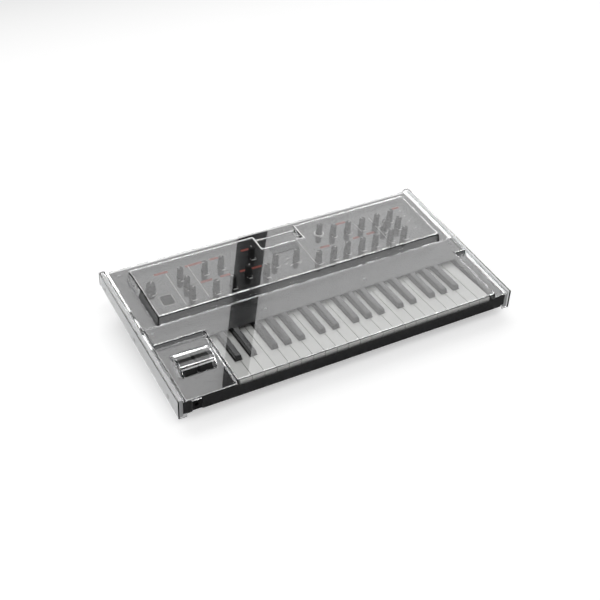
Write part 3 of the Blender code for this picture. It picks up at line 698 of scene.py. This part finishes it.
# ---------------------------------------------------------------- sub-assemblies
@dataclass
class Case:
    """The two case halves, front rail, rear panel, feet and inside parts.

    Attributes:
        rounding: Rounding of the case's moulded edges.
        deck_screws: Middles of the screws in the deck, as (x, y).
        base_screws: Middles of the screws under the tray, as (x, y).
        tray_floor: Height of the tray's underside.
    """

    rounding: float = 0.0008
    deck_screws: tuple[tuple[float, float], ...] = (
        (-0.305, 0.158), (-0.310, -0.007), (-0.102, -0.028), (0.105, -0.029), (0.316, -0.004))
    base_screws: tuple[tuple[float, float], ...] = (
        (-0.230, -0.118), (0.0, -0.118), (0.230, -0.118), (-0.230, 0.118), (0.0, 0.118),
        (0.230, 0.118))
    tray_floor: float = 0.0053

    def build(self) -> list[bpy.types.Object]:
        """Model and dress the case.

        Returns:
            The new pieces.
        """
        made = []
        for node, width in (("top_case", self.rounding), ("bottom_case", self.rounding),
                            ("front_rail", 0.0005), ("rear_panel", 0.0004)):
            shell = softened(node, node + "_shell", width)
            made.append(dressed(shell, "root", BLACK_CASE, Slot.CASE, node))
        made += self.feet()
        made += self.screws()
        self.dress_inside()
        return made

    def feet(self) -> list[bpy.types.Object]:
        """The four rubber feet, rounded."""
        made = []
        for name in ("front_left", "front_right", "rear_left", "rear_right"):
            foot = softened(f"foot_{name}", f"rubber_foot_{name}", 0.0009, 3)
            made.append(dressed(foot, "root", FOOT_RUBBER, Slot.FOOT, f"foot_{name}"))
        return made

    def screws(self) -> list[bpy.types.Object]:
        """Screws in the deck and under the tray."""
        model = CrossScrew().head("screw_model")
        deck_heads = []
        for number, (x, y) in enumerate(self.deck_screws):
            head = copied(model, f"deck_screw_{number}")
            turn = Matrix.Rotation(0.7 * number + 0.3, 4, "Z")
            settle(head, DECK.seat(x, y, 0.0001) @ turn)
            deck_heads.append(head)
        base_heads = []
        for number, (x, y) in enumerate(self.base_screws):
            head = copied(model, f"base_screw_{number}")
            over = Matrix.Rotation(pi, 4, "X") @ Matrix.Rotation(0.9 * number, 4, "Z")
            settle(head, Matrix.Translation((x, y, self.tray_floor)) @ over)
            base_heads.append(head)
        bpy.data.objects.remove(model)
        deck = dressed(joined("deck_screws", deck_heads), "root", STEEL, Slot.STEEL)
        base = dressed(joined("base_screws", base_heads), "root", SCREW_BLACK, Slot.STEEL)
        return [deck, base]

    def dress_inside(self) -> None:
        """Finishes for the CAD nodes that stay as they are inside the case."""
        finishes = {"key_bed": (STEEL, Slot.STEEL), "main_board": (BOARD_GREEN, Slot.BOARD),
                    "wheel_bracket": (STEEL, Slot.STEEL)}
        for node, (finish, slot) in finishes.items():
            paint(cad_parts[node], finish)


@dataclass
class Cheeks:
    """The silver end cheeks and the screws that hold them.

    Attributes:
        face: Distance of the outer faces from the middle.
        screws: Middles of the screws on each face, as (y, z).
        rounding: Rounding of the long edges.
    """

    face: float = 0.3343
    screws: tuple[tuple[float, float], ...] = ((-0.131, 0.0286), (0.014, 0.0420), (0.150, 0.0585))
    rounding: float = 0.0012

    def build(self) -> list[bpy.types.Object]:
        """Model and dress both cheeks.

        Returns:
            The new pieces.
        """
        model = SocketScrew().head("cheek_screw_model")
        made = []
        for side, name in ((-1, "left"), (1, "right")):
            cheek = softened(f"{name}_cheek", f"{name}_end_cheek", self.rounding, 3)
            made.append(dressed(cheek, "root", CHEEK_PAINT, Slot.CHEEK, f"{name}_cheek"))
            heads = []
            for number, (y, z) in enumerate(self.screws):
                head = copied(model, f"{name}_cheek_screw_{number}")
                out = Matrix.Rotation(side * pi / 2, 4, "Y") @ Matrix.Rotation(number * 0.4, 4, "Z")
                settle(head, Matrix.Translation((side * self.face, y, z)) @ out)
                heads.append(head)
            made.append(dressed(joined(f"{name}_cheek_screws", heads), "root",
                                SCREW_BLACK, Slot.STEEL))
        bpy.data.objects.remove(model)
        return made


@dataclass
class Keyboard:
    """The 22 white and 15 black keys.

    Attributes:
        whites: How many white keys.
        blacks: How many black keys.
        white_rounding: Rounding of a white key's edges.
        black_rounding: Rounding of a black key's edges.
    """

    whites: int = 22
    blacks: int = 15
    white_rounding: float = 0.0007
    black_rounding: float = 0.0011

    def build(self) -> list[bpy.types.Object]:
        """Model and dress every key.

        Returns:
            The new pieces.
        """
        made = []
        for colour, count, width, finish, slot in (
                ("white", self.whites, self.white_rounding, WHITE_KEY, Slot.WHITE_KEY),
                ("black", self.blacks, self.black_rounding, BLACK_KEY, Slot.BLACK_KEY)):
            for number in range(1, count + 1):
                node = f"{colour}_key_{number:02d}"
                key = softened(node, f"{colour}_note_{number:02d}", width, 3, shade=50)
                made.append(dressed(key, node, finish, slot, node))
        return made


@dataclass
class Wheels:
    """The pitch and modulation wheels.

    Attributes:
        rim: Rounding of the rims.
    """

    rim: float = 0.0014

    def build(self) -> list[bpy.types.Object]:
        """Model and dress both wheels.

        Returns:
            The new pieces.
        """
        made = []
        for node in ("pitch_wheel", "mod_wheel"):
            wheel = softened(node, node.replace("wheel", "roller"), self.rim, 3, angle=35, shade=40)
            made.append(dressed(wheel, node, WHEEL_PLASTIC, Slot.WHEEL, node))
        return made


class Grip(Enum):
    """Kinds of knob: (radius, height, flutes)."""

    SLIM = (0.0060, 0.0210, 18)
    WIDE = (0.0085, 0.0150, 24)


@dataclass(frozen=True)
class KnobPlace:
    """Where one knob stands.

    Attributes:
        x: Middle along X.
        y: Middle along Y.
        turn: How far its pointer is turned, in degrees.
        body: The CAD body that it is, or an empty string for a knob fixed to the case.
        grip: Its kind.
    """

    x: float
    y: float
    turn: float
    body: str = ""
    grip: Grip = Grip.SLIM


FREE_KNOBS = (
    (-0.206, 0.110, -40), (-0.205, 0.082, 10), (-0.207, 0.054, 55), (-0.158, 0.108, -90),
    (-0.124, 0.109, 20), (-0.161, 0.052, 80), (-0.127, 0.052, -30), (-0.059, 0.113, 0),
    (-0.088, 0.068, 45), (-0.056, 0.056, -15), (-0.028, 0.075, 90), (0.016, 0.073, -50),
    (0.118, 0.110, 30), (0.117, 0.054, -75), (0.149, 0.107, 60), (0.149, 0.052, 0),
    (0.181, 0.106, -20), (0.180, 0.053, 100), (0.214, 0.105, 45), (0.219, 0.083, -100),
    (0.214, 0.052, 15), (0.247, 0.107, -45), (0.250, 0.081, 75), (0.244, 0.050, -10))
KNOBS = (
    KnobPlace(-0.269, 0.097, 30, "volume_knob", Grip.WIDE),
    KnobPlace(0.0935, 0.122, 0, "value_knob"),
    KnobPlace(0.052, 0.051, -60, "cutoff_knob"),
    KnobPlace(0.085, 0.051, 70, "resonance_knob"),
    *(KnobPlace(*row) for row in FREE_KNOBS))


@dataclass
class Knobs:
    """All the knobs, each with a fluted grip, a skirt and a pointer line.

    Attributes:
        lift: Gap under each knob.
        skirt: Radius of the skirt as a share of the grip's.
        line: Width of the pointer line.
    """

    lift: float = 0.0006
    skirt: float = 1.12
    line: float = 0.0010

    def model(self, grip: Grip) -> bpy.types.Object:
        """Model one knob of a kind, standing on Z = 0 with its pointer towards +Y.

        Args:
            grip: The kind of knob.

        Returns:
            The new object, with the rubber in slot 0 and the line in slot 1.
        """
        radius, height, flutes = grip.value
        foot = height * 0.12
        body = turned([(radius * self.skirt * 0.97, 0), (radius * self.skirt, foot * 0.3),
                       (radius * self.skirt, foot), (radius, height * 0.2),
                       (radius * 0.95, height * 0.94), (radius * 0.86, height)],
                      steps=2 * flutes)
        with editing(body):
            pick_faces(body, lambda middle, normal: abs(normal.z) < 0.3
                       and middle.z > height * 0.25 and middle.z < height * 0.93
                       and int((middle.to_2d().angle_signed(Vector((1, 0))) + pi)
                               / (2 * pi) * 2 * flutes + 0.25) % 2 == 0)
            bpy.ops.mesh.inset(thickness=radius * 0.03, depth=-radius * 0.055, use_individual=True)
            pick_faces(body, lambda middle, normal: normal.z > 0.9 and middle.z > height * 0.9)
            bpy.ops.mesh.inset(thickness=radius * 0.12, depth=0)
            bpy.ops.mesh.inset(thickness=radius * 0.06, depth=-height * 0.02)
        round_edges(body, radius * 0.025, 1, angle=50)
        top = slab(0, radius * 0.52, self.line, radius * 0.80, height * 0.03, self.line * 0.3)
        settle(top, Matrix.Translation((0, 0, height * 0.98)))
        side = slab(0, height * 0.5, self.line, height * 0.55, radius * 0.10, self.line * 0.3)
        lean = Matrix.Translation((0, radius * 0.94, height * 0.12)) @ Matrix.Rotation(
            radians(91.0), 4, "X") @ Matrix.Translation((0, 0, -radius * 0.06))
        settle(side, lean)
        body.data.materials.append(KNOB_RUBBER.build())
        for line in (top, side):
            line.data.materials.append(INK_WHITE.build())
        knob = joined("knob_model", [body, top, side])
        smooth(knob, 32)
        return knob

    def build(self) -> list[bpy.types.Object]:
        """Model the two kinds once and stand a copy at every place.

        Returns:
            The new pieces.
        """
        models = {grip: self.model(grip) for grip in Grip}
        made = []
        for number, place in enumerate(KNOBS, start=1):
            name = place.body.replace("knob", "dial") if place.body else f"dial_{number:02d}"
            knob = copied(models[place.grip], name)
            seat = DECK.seat(place.x, place.y, DECK.panel_lift + self.lift)
            settle(knob, seat @ Matrix.Rotation(-radians(place.turn), 4, "Z"))
            nodes = (place.body,) if place.body else ()
            made.append(dressed(knob, place.body or "root", None, Slot.KNOB, *nodes))
        for model in models.values():
            bpy.data.objects.remove(model)
        return made


@dataclass
class ControlPanel:
    """The control panel, its print, display, touch pad and lamps.

    Attributes:
        ink: Thickness of the print.
        headers: Red section bars, as (x, y, length).
        dividers: Lines between sections, as (x, y low, y high).
        lamps: Middles of the small lamps, as (x, y).
        pad: Touch pad, as (x, y, width, depth).
        selectors: Middles of the dashes beside the two selector knobs, as (x, y).
        bar: Width of a section bar.
        legend: Width of a legend dash.
        tick: Length and width of a tick at a knob's end stops.
        mark: Length and width of a selector dash.
        divider: Width of a dividing line.
        pad_corner: Radius of the touch pad's corners.
        pad_outline: Width of the line round the touch pad.
        ring: Radii of the light ring and of its section.
    """

    ink: float = 0.00006
    headers: tuple[tuple[float, float, float], ...] = (
        (-0.234, 0.1335, 0.027), (-0.169, 0.1335, 0.034), (-0.127, 0.1335, 0.017),
        (-0.062, 0.1335, 0.017), (0.149, 0.1335, 0.021), (0.278, 0.1325, 0.015),
        (-0.166, 0.082, 0.023), (-0.128, 0.082, 0.020), (-0.093, 0.081, 0.011),
        (-0.064, 0.080, 0.020), (0.084, 0.082, 0.021), (0.154, 0.082, 0.013),
        (0.188, 0.083, 0.018))
    dividers: tuple[tuple[float, float, float], ...] = (
        (-0.226, 0.040, 0.129), (-0.180, 0.042, 0.134), (0.044, 0.042, 0.122),
        (0.210, 0.046, 0.126), (0.174, 0.092, 0.120))
    lamps: tuple[tuple[float, float], ...] = (
        (-0.080, 0.081), (0.281, 0.120), (0.281, 0.103), (0.281, 0.086), (0.281, 0.062))
    pad: tuple[float, float, float, float] = (-0.252, 0.062, 0.024, 0.028)
    selectors: tuple[tuple[float, float], ...] = (
        (0.001, 0.079), (-0.008, 0.066), (-0.001, 0.059), (0.017, 0.058), (-0.043, 0.083),
        (-0.044, 0.068))
    bar: float = 0.0052
    legend: float = 0.0017
    tick: tuple[float, float] = (0.0022, 0.0010)
    mark: tuple[float, float] = (0.0050, 0.0015)
    divider: float = 0.0009
    pad_corner: float = 0.0055
    pad_outline: float = 0.0007
    ring: tuple[float, float] = (0.0086, 0.0011)

    def strip(self, x: float, y: float, length: float, width: float,
              turn: float = 0.0) -> bpy.types.Object:
        """One printed strip on the panel, `length` long and turned by `turn` degrees."""
        strip = slab(0, 0, length, width, self.ink, width * 0.25)
        settle(strip, DECK.seat(x, y, DECK.panel_lift + 0.00002)
               @ Matrix.Rotation(radians(turn), 4, "Z"))
        return strip

    def legends(self) -> list[bpy.types.Object]:
        """Plain dashes that stand for the legends round each knob."""
        made = []
        for number, place in enumerate(KNOBS):
            reach = place.grip.value[0] + 0.0035
            length = 0.0065 + 0.0012 * (number * 5 % 4)
            made.append(self.strip(place.x, place.y - reach - 0.0022, length, self.legend))
            for turn in (-145, 145):
                x = place.x + sin(radians(turn)) * (reach - 0.0005)
                y = place.y + cos(radians(turn)) * (reach - 0.0005)
                made.append(self.strip(x, y, *self.tick, 90 - turn))
        return made

    def build(self) -> list[bpy.types.Object]:
        """Model and dress the panel.

        Returns:
            The new pieces.
        """
        panel = softened("control_panel", "panel_plate", 0.0003, 1)
        made = [dressed(panel, "root", PANEL_BLACK, Slot.PANEL, "control_panel")]
        bars = [self.strip(x, y, length, self.bar) for x, y, length in self.headers]
        made.append(dressed(joined("section_bars", bars), "root", INK_RED, Slot.PANEL))
        white = self.legends() + [self.strip(x, y, *self.mark) for x, y in self.selectors]
        white += [self.strip(x, (low + high) / 2, high - low, self.divider, 90)
                  for x, low, high in self.dividers]
        made.append(dressed(joined("white_print", white), "root", INK_WHITE, Slot.PANEL))
        made += [self.make_display(), self.make_pad(), self.make_lamps(), self.make_ring()]
        return made

    def make_display(self) -> bpy.types.Object:
        """The display window, with a rounded glass edge."""
        glass = softened("display_window", "display_pane", 0.0004, 3)
        return dressed(glass, "root", DISPLAY_GLASS, Slot.DISPLAY, "display_window")

    def make_pad(self) -> bpy.types.Object:
        """The round-cornered touch pad with its light outline."""
        x, y, width, depth = self.pad
        outline = slab(0, 0, width, depth, 0.0003, self.pad_corner)
        with editing(outline):
            pick_faces(outline, lambda middle, normal: normal.z > 0.9)
            bpy.ops.mesh.inset(thickness=self.pad_outline, depth=0)
            bpy.ops.mesh.delete(type="FACE")
            pick_faces(outline, lambda middle, normal: normal.z < -0.9)
            bpy.ops.mesh.delete(type="FACE")
            bpy.ops.mesh.select_all(action="SELECT")
            bpy.ops.mesh.normals_make_consistent(inside=False)
        modify(outline, "SOLIDIFY", thickness=0.00008, offset=-1)
        outline.data.materials.append(INK_WHITE.build())
        pad = slab(0, 0, width - 0.0018, depth - 0.0018, 0.0009,
                   self.pad_corner - self.pad_outline)
        round_edges(pad, 0.0004, 2, 40)
        pad.data.materials.append(KNOB_RUBBER.build())
        piece = joined("touch_pad", [pad, outline])
        settle(piece, DECK.seat(x, y, DECK.panel_lift + 0.00005))
        smooth(piece, 40)
        return dressed(piece, "root", None, Slot.KNOB)

    def make_lamps(self) -> bpy.types.Object:
        """The small lamps, each a domed lens."""
        lenses = []
        for x, y in self.lamps:
            lens = turned([(0.0015, 0), (0.0015, 0.0004), (0.0012, 0.0009), (0.0006, 0.0012)], 16)
            settle(lens, DECK.seat(x, y, DECK.panel_lift))
            lenses.append(lens)
        lamps = joined("lamps", lenses)
        smooth(lamps, 60)
        return dressed(lamps, "root", LAMP_LENS, Slot.DISPLAY)

    def make_ring(self) -> bpy.types.Object:
        """The light ring round the value knob."""
        knob = KNOBS[1]
        bpy.ops.mesh.primitive_torus_add(major_radius=self.ring[0], minor_radius=self.ring[1],
                                         major_segments=40, minor_segments=10)
        ring = bpy.context.object
        ring.name = "value_ring"
        ring.scale.z = 0.6
        settle(ring)
        settle(ring, DECK.seat(knob.x, knob.y, DECK.panel_lift + 0.0005))
        smooth(ring, 60)
        return dressed(ring, "root", LAMP_LENS, Slot.DISPLAY)


@dataclass
class Sockets:
    """Bushings, nuts and contacts of the sockets.

    Attributes:
        headphone: Middle of the front socket, as (x, y, z).
        rear_y: Outer face of the rear panel.
        rear_z: Height of the rear sockets' middles.
        jacks: Middles of the rear jack sockets along X.
        rounds: Middles of the rear round multi-pin sockets along X.
        inlets: Middles of the small rear inlets along X.
        jack_rings: A jack's nut and bushing, as (bore, radius, height, sides).
        round_collar: A round socket's collar, in the same way.
        inlet_collar: An inlet's collar, in the same way.
        pin_circle: Distance of the pins from the middle of a round socket.
    """

    headphone: tuple[float, float, float] = (-0.3033, -0.1706, 0.0312)
    rear_y: float = 0.1706
    rear_z: float = 0.06192
    jacks: tuple[float, ...] = (-0.215, -0.190, -0.145)
    rounds: tuple[float, ...] = (0.050, 0.080)
    inlets: tuple[float, ...] = (-0.260, 0.230)
    jack_rings: tuple[tuple[float, float, float, int], ...] = (
        (0.0046, 0.0068, 0.0012, 6), (0.0046, 0.0058, 0.0024, 32))
    round_collar: tuple[float, float, float, int] = (0.0069, 0.0082, 0.0009, 40)
    inlet_collar: tuple[float, float, float, int] = (0.0040, 0.0056, 0.0009, 32)
    pin_circle: float = 0.0040

    def at_rear(self, piece: bpy.types.Object, x: float, sunk: float = 0.0,
                drop: float = 0.0) -> bpy.types.Object:
        """Stand `piece` on the rear panel at `x`, sunk into it and below the sockets' middles."""
        place = Matrix.Translation((x, self.rear_y - sunk, self.rear_z - drop))
        settle(piece, place @ Matrix.Rotation(-pi / 2, 4, "X"))
        return piece

    def washer(self, name: str, inner: float, outer: float, height: float,
               sides: int = 32) -> bpy.types.Object:
        """A ring or nut standing on Z = 0."""
        bpy.ops.mesh.primitive_cylinder_add(vertices=sides, radius=outer, depth=height,
                                            location=(0, 0, height / 2))
        ring = bpy.context.object
        ring.name = name
        settle(ring)
        bpy.ops.mesh.primitive_cylinder_add(vertices=32, radius=inner, depth=height * 3,
                                            location=(0, 0, height / 2))
        bore = bpy.context.object
        settle(bore)
        cut(ring, bore)
        round_edges(ring, height * 0.18, 2, 50)
        return ring

    def build(self) -> list[bpy.types.Object]:
        """Model and dress the sockets.

        Returns:
            The new pieces.
        """
        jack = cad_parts["headphone_jack"]
        paint(jack, BLACK_CASE)
        forward = Matrix.Rotation(pi / 2, 4, "X")
        front = self.washer("headphone_nut", 0.0035, 0.0056, 0.0012, 12)
        settle(front, Matrix.Translation(self.headphone) @ forward)
        smooth(front, 30)
        rings = [self.at_rear(self.washer("jack_ring", *ring), x)
                 for x in self.jacks for ring in self.jack_rings]
        liners = []
        for x in self.rounds:
            liners.append(self.at_rear(self.washer("round_collar", *self.round_collar), x))
            liners += self.pins(x)
        for x in self.inlets:
            liners.append(self.at_rear(self.washer("inlet_collar", *self.inlet_collar), x))
        nuts = joined("jack_nuts", rings)
        collars = joined("socket_collars", liners)
        for piece in (nuts, collars):
            smooth(piece, 30)
        return [dressed(front, "root", SCREW_BLACK, Slot.STEEL),
                dressed(nuts, "root", STEEL, Slot.STEEL),
                dressed(collars, "root", BLACK_CASE, Slot.CASE)]

    def pins(self, x: float) -> list[bpy.types.Object]:
        """The insert of a round socket and its five pins."""
        insert = turned([(0.0064, 0), (0.0064, 0.0016), (0.0060, 0.0020)], 32)
        made = [self.at_rear(insert, x, 0.0030)]
        for angle in (0, 45, 90, 135, 180):
            pin = turned([(0.0007, 0), (0.0007, 0.0022), (0.0004, 0.0026)], 10)
            across = cos(radians(angle)) * self.pin_circle
            made.append(self.at_rear(pin, x + across, 0.0022, sin(radians(angle)) * self.pin_circle))
        return made


@dataclass
class DustCover:
    """The clear cover over the whole instrument.

    Attributes:
        hood_fold: Rounding of the hood's outside folds.
        island_fold: Rounding of the folds of the raised part over the keys.
        dome_fold: Rounding of the folds at the dome's ends.
        ridge_fold: Rounding of the outside folds along the ridges and skirts.
        edges: Rounding of its inside, its hollow folds and its cut edges.
        hood_reach: Half the hood's width and where it starts, along X and Y.
        dome_reach: The dome's least and greatest X and its greatest Y.
    """

    hood_fold: float = 0.0036
    island_fold: float = 0.0030
    dome_fold: float = 0.0016
    ridge_fold: float = 0.0016
    edges: float = 0.0006
    hood_reach: tuple[float, float] = (0.2990, -0.0006)
    dome_reach: tuple[float, float, float] = (-0.3085, -0.2410, -0.0600)

    def rounding(self, middle: Vector, normal: Vector, hollow: bool) -> float:
        """The rounding for a fold, from its middle and its faces' mean normal."""
        if normal.z < 0.15 or hollow:
            return self.edges
        if abs(middle.x) > 0.3155:
            return self.ridge_fold
        if abs(middle.x) < self.hood_reach[0] and middle.y > self.hood_reach[1]:
            return self.hood_fold
        left, right, back = self.dome_reach
        if left < middle.x < right and middle.y < back and DECK.level(middle.y, 0.0045) < middle.z:
            return self.dome_fold
        return self.island_fold

    def build(self) -> list[bpy.types.Object]:
        """Model and dress the cover.

        Returns:
            The new piece, in a list.
        """
        cover = merged("dust_cover", "clear_cover")
        round_folds(cover, self.hood_fold, self.rounding)
        return [dressed(cover, "dust_cover", COVER_CLEAR, Slot.COVER, "dust_cover")]


# ---------------------------------------------------------------- studio
@dataclass(frozen=True)
class Softbox:
    """One soft lamp.

    Attributes:
        name: Its name.
        middle: Middle of its face.
        size: Its width and height.
        facing: The direction it shines in.
        brightness: Radiance of its face.
        only: Name of the one piece that it lights, or an empty string for all.
        mirrored: Whether it shows in reflections.
    """

    name: str
    middle: tuple[float, float, float]
    size: tuple[float, float]
    facing: tuple[float, float, float]
    brightness: float
    only: str = ""
    mirrored: bool = True

    def build(self) -> bpy.types.Object:
        """Add the lamp."""
        lamp = bpy.data.lights.new(self.name, "AREA")
        lamp.shape = "RECTANGLE"
        lamp.size, lamp.size_y = self.size
        lamp.energy = self.brightness * pi * self.size[0] * self.size[1]
        made = bpy.data.objects.new(self.name, lamp)
        made.location = self.middle
        made.rotation_euler = Vector(self.facing).to_track_quat("-Z", "Y").to_euler()
        made.visible_camera = False
        made.visible_glossy = self.mirrored
        bpy.context.scene.collection.objects.link(made)
        if self.only:
            lit = bpy.data.collections.new(self.name + "_lights")
            lit.objects.link(bpy.data.objects[self.only])
            made.light_linking.receiver_collection = lit
        return made


@dataclass
class Studio:
    """Camera, lamps, floor and surroundings.

    Attributes:
        lens: Focal length in millimetres on a 36 mm sensor.
        target: Point that the camera looks at.
        distance: From the camera to that point.
        yaw: Turn of the view to the right of +Y, in degrees.
        pitch: How far the view looks down, in degrees.
        roll: Roll of the camera, in degrees.
        dark_from: The floor in front of this Y is darkest in reflections, as painted shade.
        floor_grey: The floor's grey, as seen and at its darkest in reflections.
        floor_glow: Its own light, in the same way.
        floor_behind: How far the floor behind `dark_from` goes towards that darkest.
        daylight: Strength of the surroundings as light.
        mirrored_daylight: Share of it that reflections show.
    """

    lens: float = 63.8
    target: tuple[float, float, float] = (0.0051, 0.0331, 0.0)
    distance: float = 2.018
    yaw: float = 30.75
    pitch: float = 37.3
    roll: float = 2.68
    dark_from: float = -0.165
    floor_grey: tuple[float, float] = (0.90, 0.10)
    floor_glow: tuple[float, float] = (0.42, 0.01)
    floor_behind: float = 0.35
    daylight: float = 0.30
    mirrored_daylight: float = 0.10
    softboxes: tuple[Softbox, ...] = (
        Softbox("rear_left_softbox", (-0.1025, 1.8, 2.1), (1.995, 2.6), (0, -1, 0), 1.5),
        Softbox("rear_right_softbox", (2.04, 1.8, 2.1), (2.0, 2.6), (0, -1, 0), 1.5),
        Softbox("overhead_softbox", (0.4, -0.6, 2.5), (2.0, 1.2), (0, 0, -1), 1.6),
        Softbox("left_softbox", (-2.2, -0.4, 0.9), (1.8, 1.4), (1, 0.1, -0.3), 1.8,
                mirrored=False),
        Softbox("edge_strip_above", (1.18, -1.25, 2.45), (2.8, 0.34), (0, 0, -1), 18.0,
                "clear_cover"),
        Softbox("edge_strip_front", (1.25, -1.75, 2.2), (1.8, 0.5), (-0.4, 0.6, -0.7), 4.5,
                "clear_cover"),
        Softbox("edge_strip_left", (-1.0, 1.75, 1.8), (0.7, 2.4), (0.4, -0.9, -0.3), 8.0,
                "clear_cover"),
        Softbox("edge_strip_low", (1.0, 1.75, 0.38), (5.0, 0.74), (0, -1, 0), 12.0,
                "clear_cover"))

    def camera(self) -> None:
        """Add the camera and make it the scene's."""
        yaw, pitch, roll = radians(self.yaw), radians(self.pitch), radians(self.roll)
        ahead = Vector((sin(yaw) * cos(pitch), cos(yaw) * cos(pitch), -sin(pitch)))
        level = Vector((cos(yaw), -sin(yaw), 0))
        upright = level.cross(ahead)
        right = level * cos(roll) + upright * sin(roll)
        top = upright * cos(roll) - level * sin(roll)
        data = bpy.data.cameras.new("camera")
        data.lens = self.lens
        data.sensor_width = 36
        data.clip_start, data.clip_end = 0.05, 50
        made = bpy.data.objects.new("camera", data)
        axes = Matrix((right, top, -ahead)).transposed()
        made.matrix_world = Matrix.Translation(Vector(self.target) - ahead * self.distance) \
            @ axes.to_4x4()
        bpy.context.scene.collection.objects.link(made)
        bpy.context.scene.camera = made

    def floor(self) -> None:
        """Add the plain pale floor, with painted shade in its reflections: glossy rays see it darker,
        most of all in front.
        """
        bpy.ops.object.select_all(action="DESELECT")
        bpy.ops.mesh.primitive_plane_add(size=30, location=(0, 0, -0.0004))
        floor = bpy.context.object
        floor.name = "floor"
        paint = bpy.data.materials.new("floor_paint")
        paint.use_nodes = True
        nodes = Nodes(paint.node_tree)
        links = paint.node_tree.links
        shader = paint.node_tree.nodes["Principled BSDF"]
        shader.inputs["Roughness"].default_value = 0.9
        shader.inputs["Specular IOR Level"].default_value = 0.1
        shader.inputs["Emission Color"].default_value = (1, 1, 1, 1)
        place = nodes.add("TexCoord").outputs["Object"]
        ahead = nodes.add("SeparateXYZ", {0: place}).outputs["Y"]
        # Painted shade in reflections: glossy rays see the floor darker, darkest in front of the
        # instrument.
        front = nodes.math("LESS_THAN", ahead, self.dark_from)
        mirrored = nodes.math("MULTIPLY", nodes.add("LightPath").outputs["Is Glossy Ray"],
                              nodes.span(front, self.floor_behind, 1.0))
        seen, darkest = self.floor_grey
        links.new(nodes.blend(mirrored, (seen,) * 3, (darkest,) * 3), shader.inputs["Base Color"])
        links.new(nodes.span(mirrored, *self.floor_glow), shader.inputs["Emission Strength"])
        floor.data.materials.append(paint)

    def surroundings(self) -> None:
        """White to the camera, a dim grey for light, and nearly black in reflections."""
        world = bpy.data.worlds.new("studio")
        bpy.context.scene.world = world
        world.use_nodes = True
        nodes = Nodes(world.node_tree)
        back = world.node_tree.nodes["Background"]
        path = nodes.add("LightPath")
        light = nodes.span(path.outputs["Is Camera Ray"], self.daylight, 1.0)
        dimmed = nodes.span(path.outputs["Is Glossy Ray"], 1.0, self.mirrored_daylight)
        world.node_tree.links.new(nodes.math("MULTIPLY", light, dimmed), back.inputs["Strength"])
        back.inputs["Color"].default_value = (1, 1, 1, 1)

    def build(self) -> None:
        """Set up the whole studio."""
        bpy.context.scene.view_settings.view_transform = "Standard"
        self.camera()
        self.floor()
        self.surroundings()
        for softbox in self.softboxes:
            softbox.build()


def main() -> None:
    """Build every sub-assembly and log its pieces, then build the studio."""
    logging.basicConfig(level=logging.INFO, format="%(name)s: %(message)s")
    for assembly in (Case(), Cheeks(), Keyboard(), Wheels(), Knobs(), ControlPanel(), Sockets(),
                     DustCover()):
        for piece in assembly.build():
            log.info("%s: %s, %d faces", type(assembly).__name__, piece.name,
                     len(piece.data.polygons))
    Studio().build()


if __name__ == "__main__":
    main()
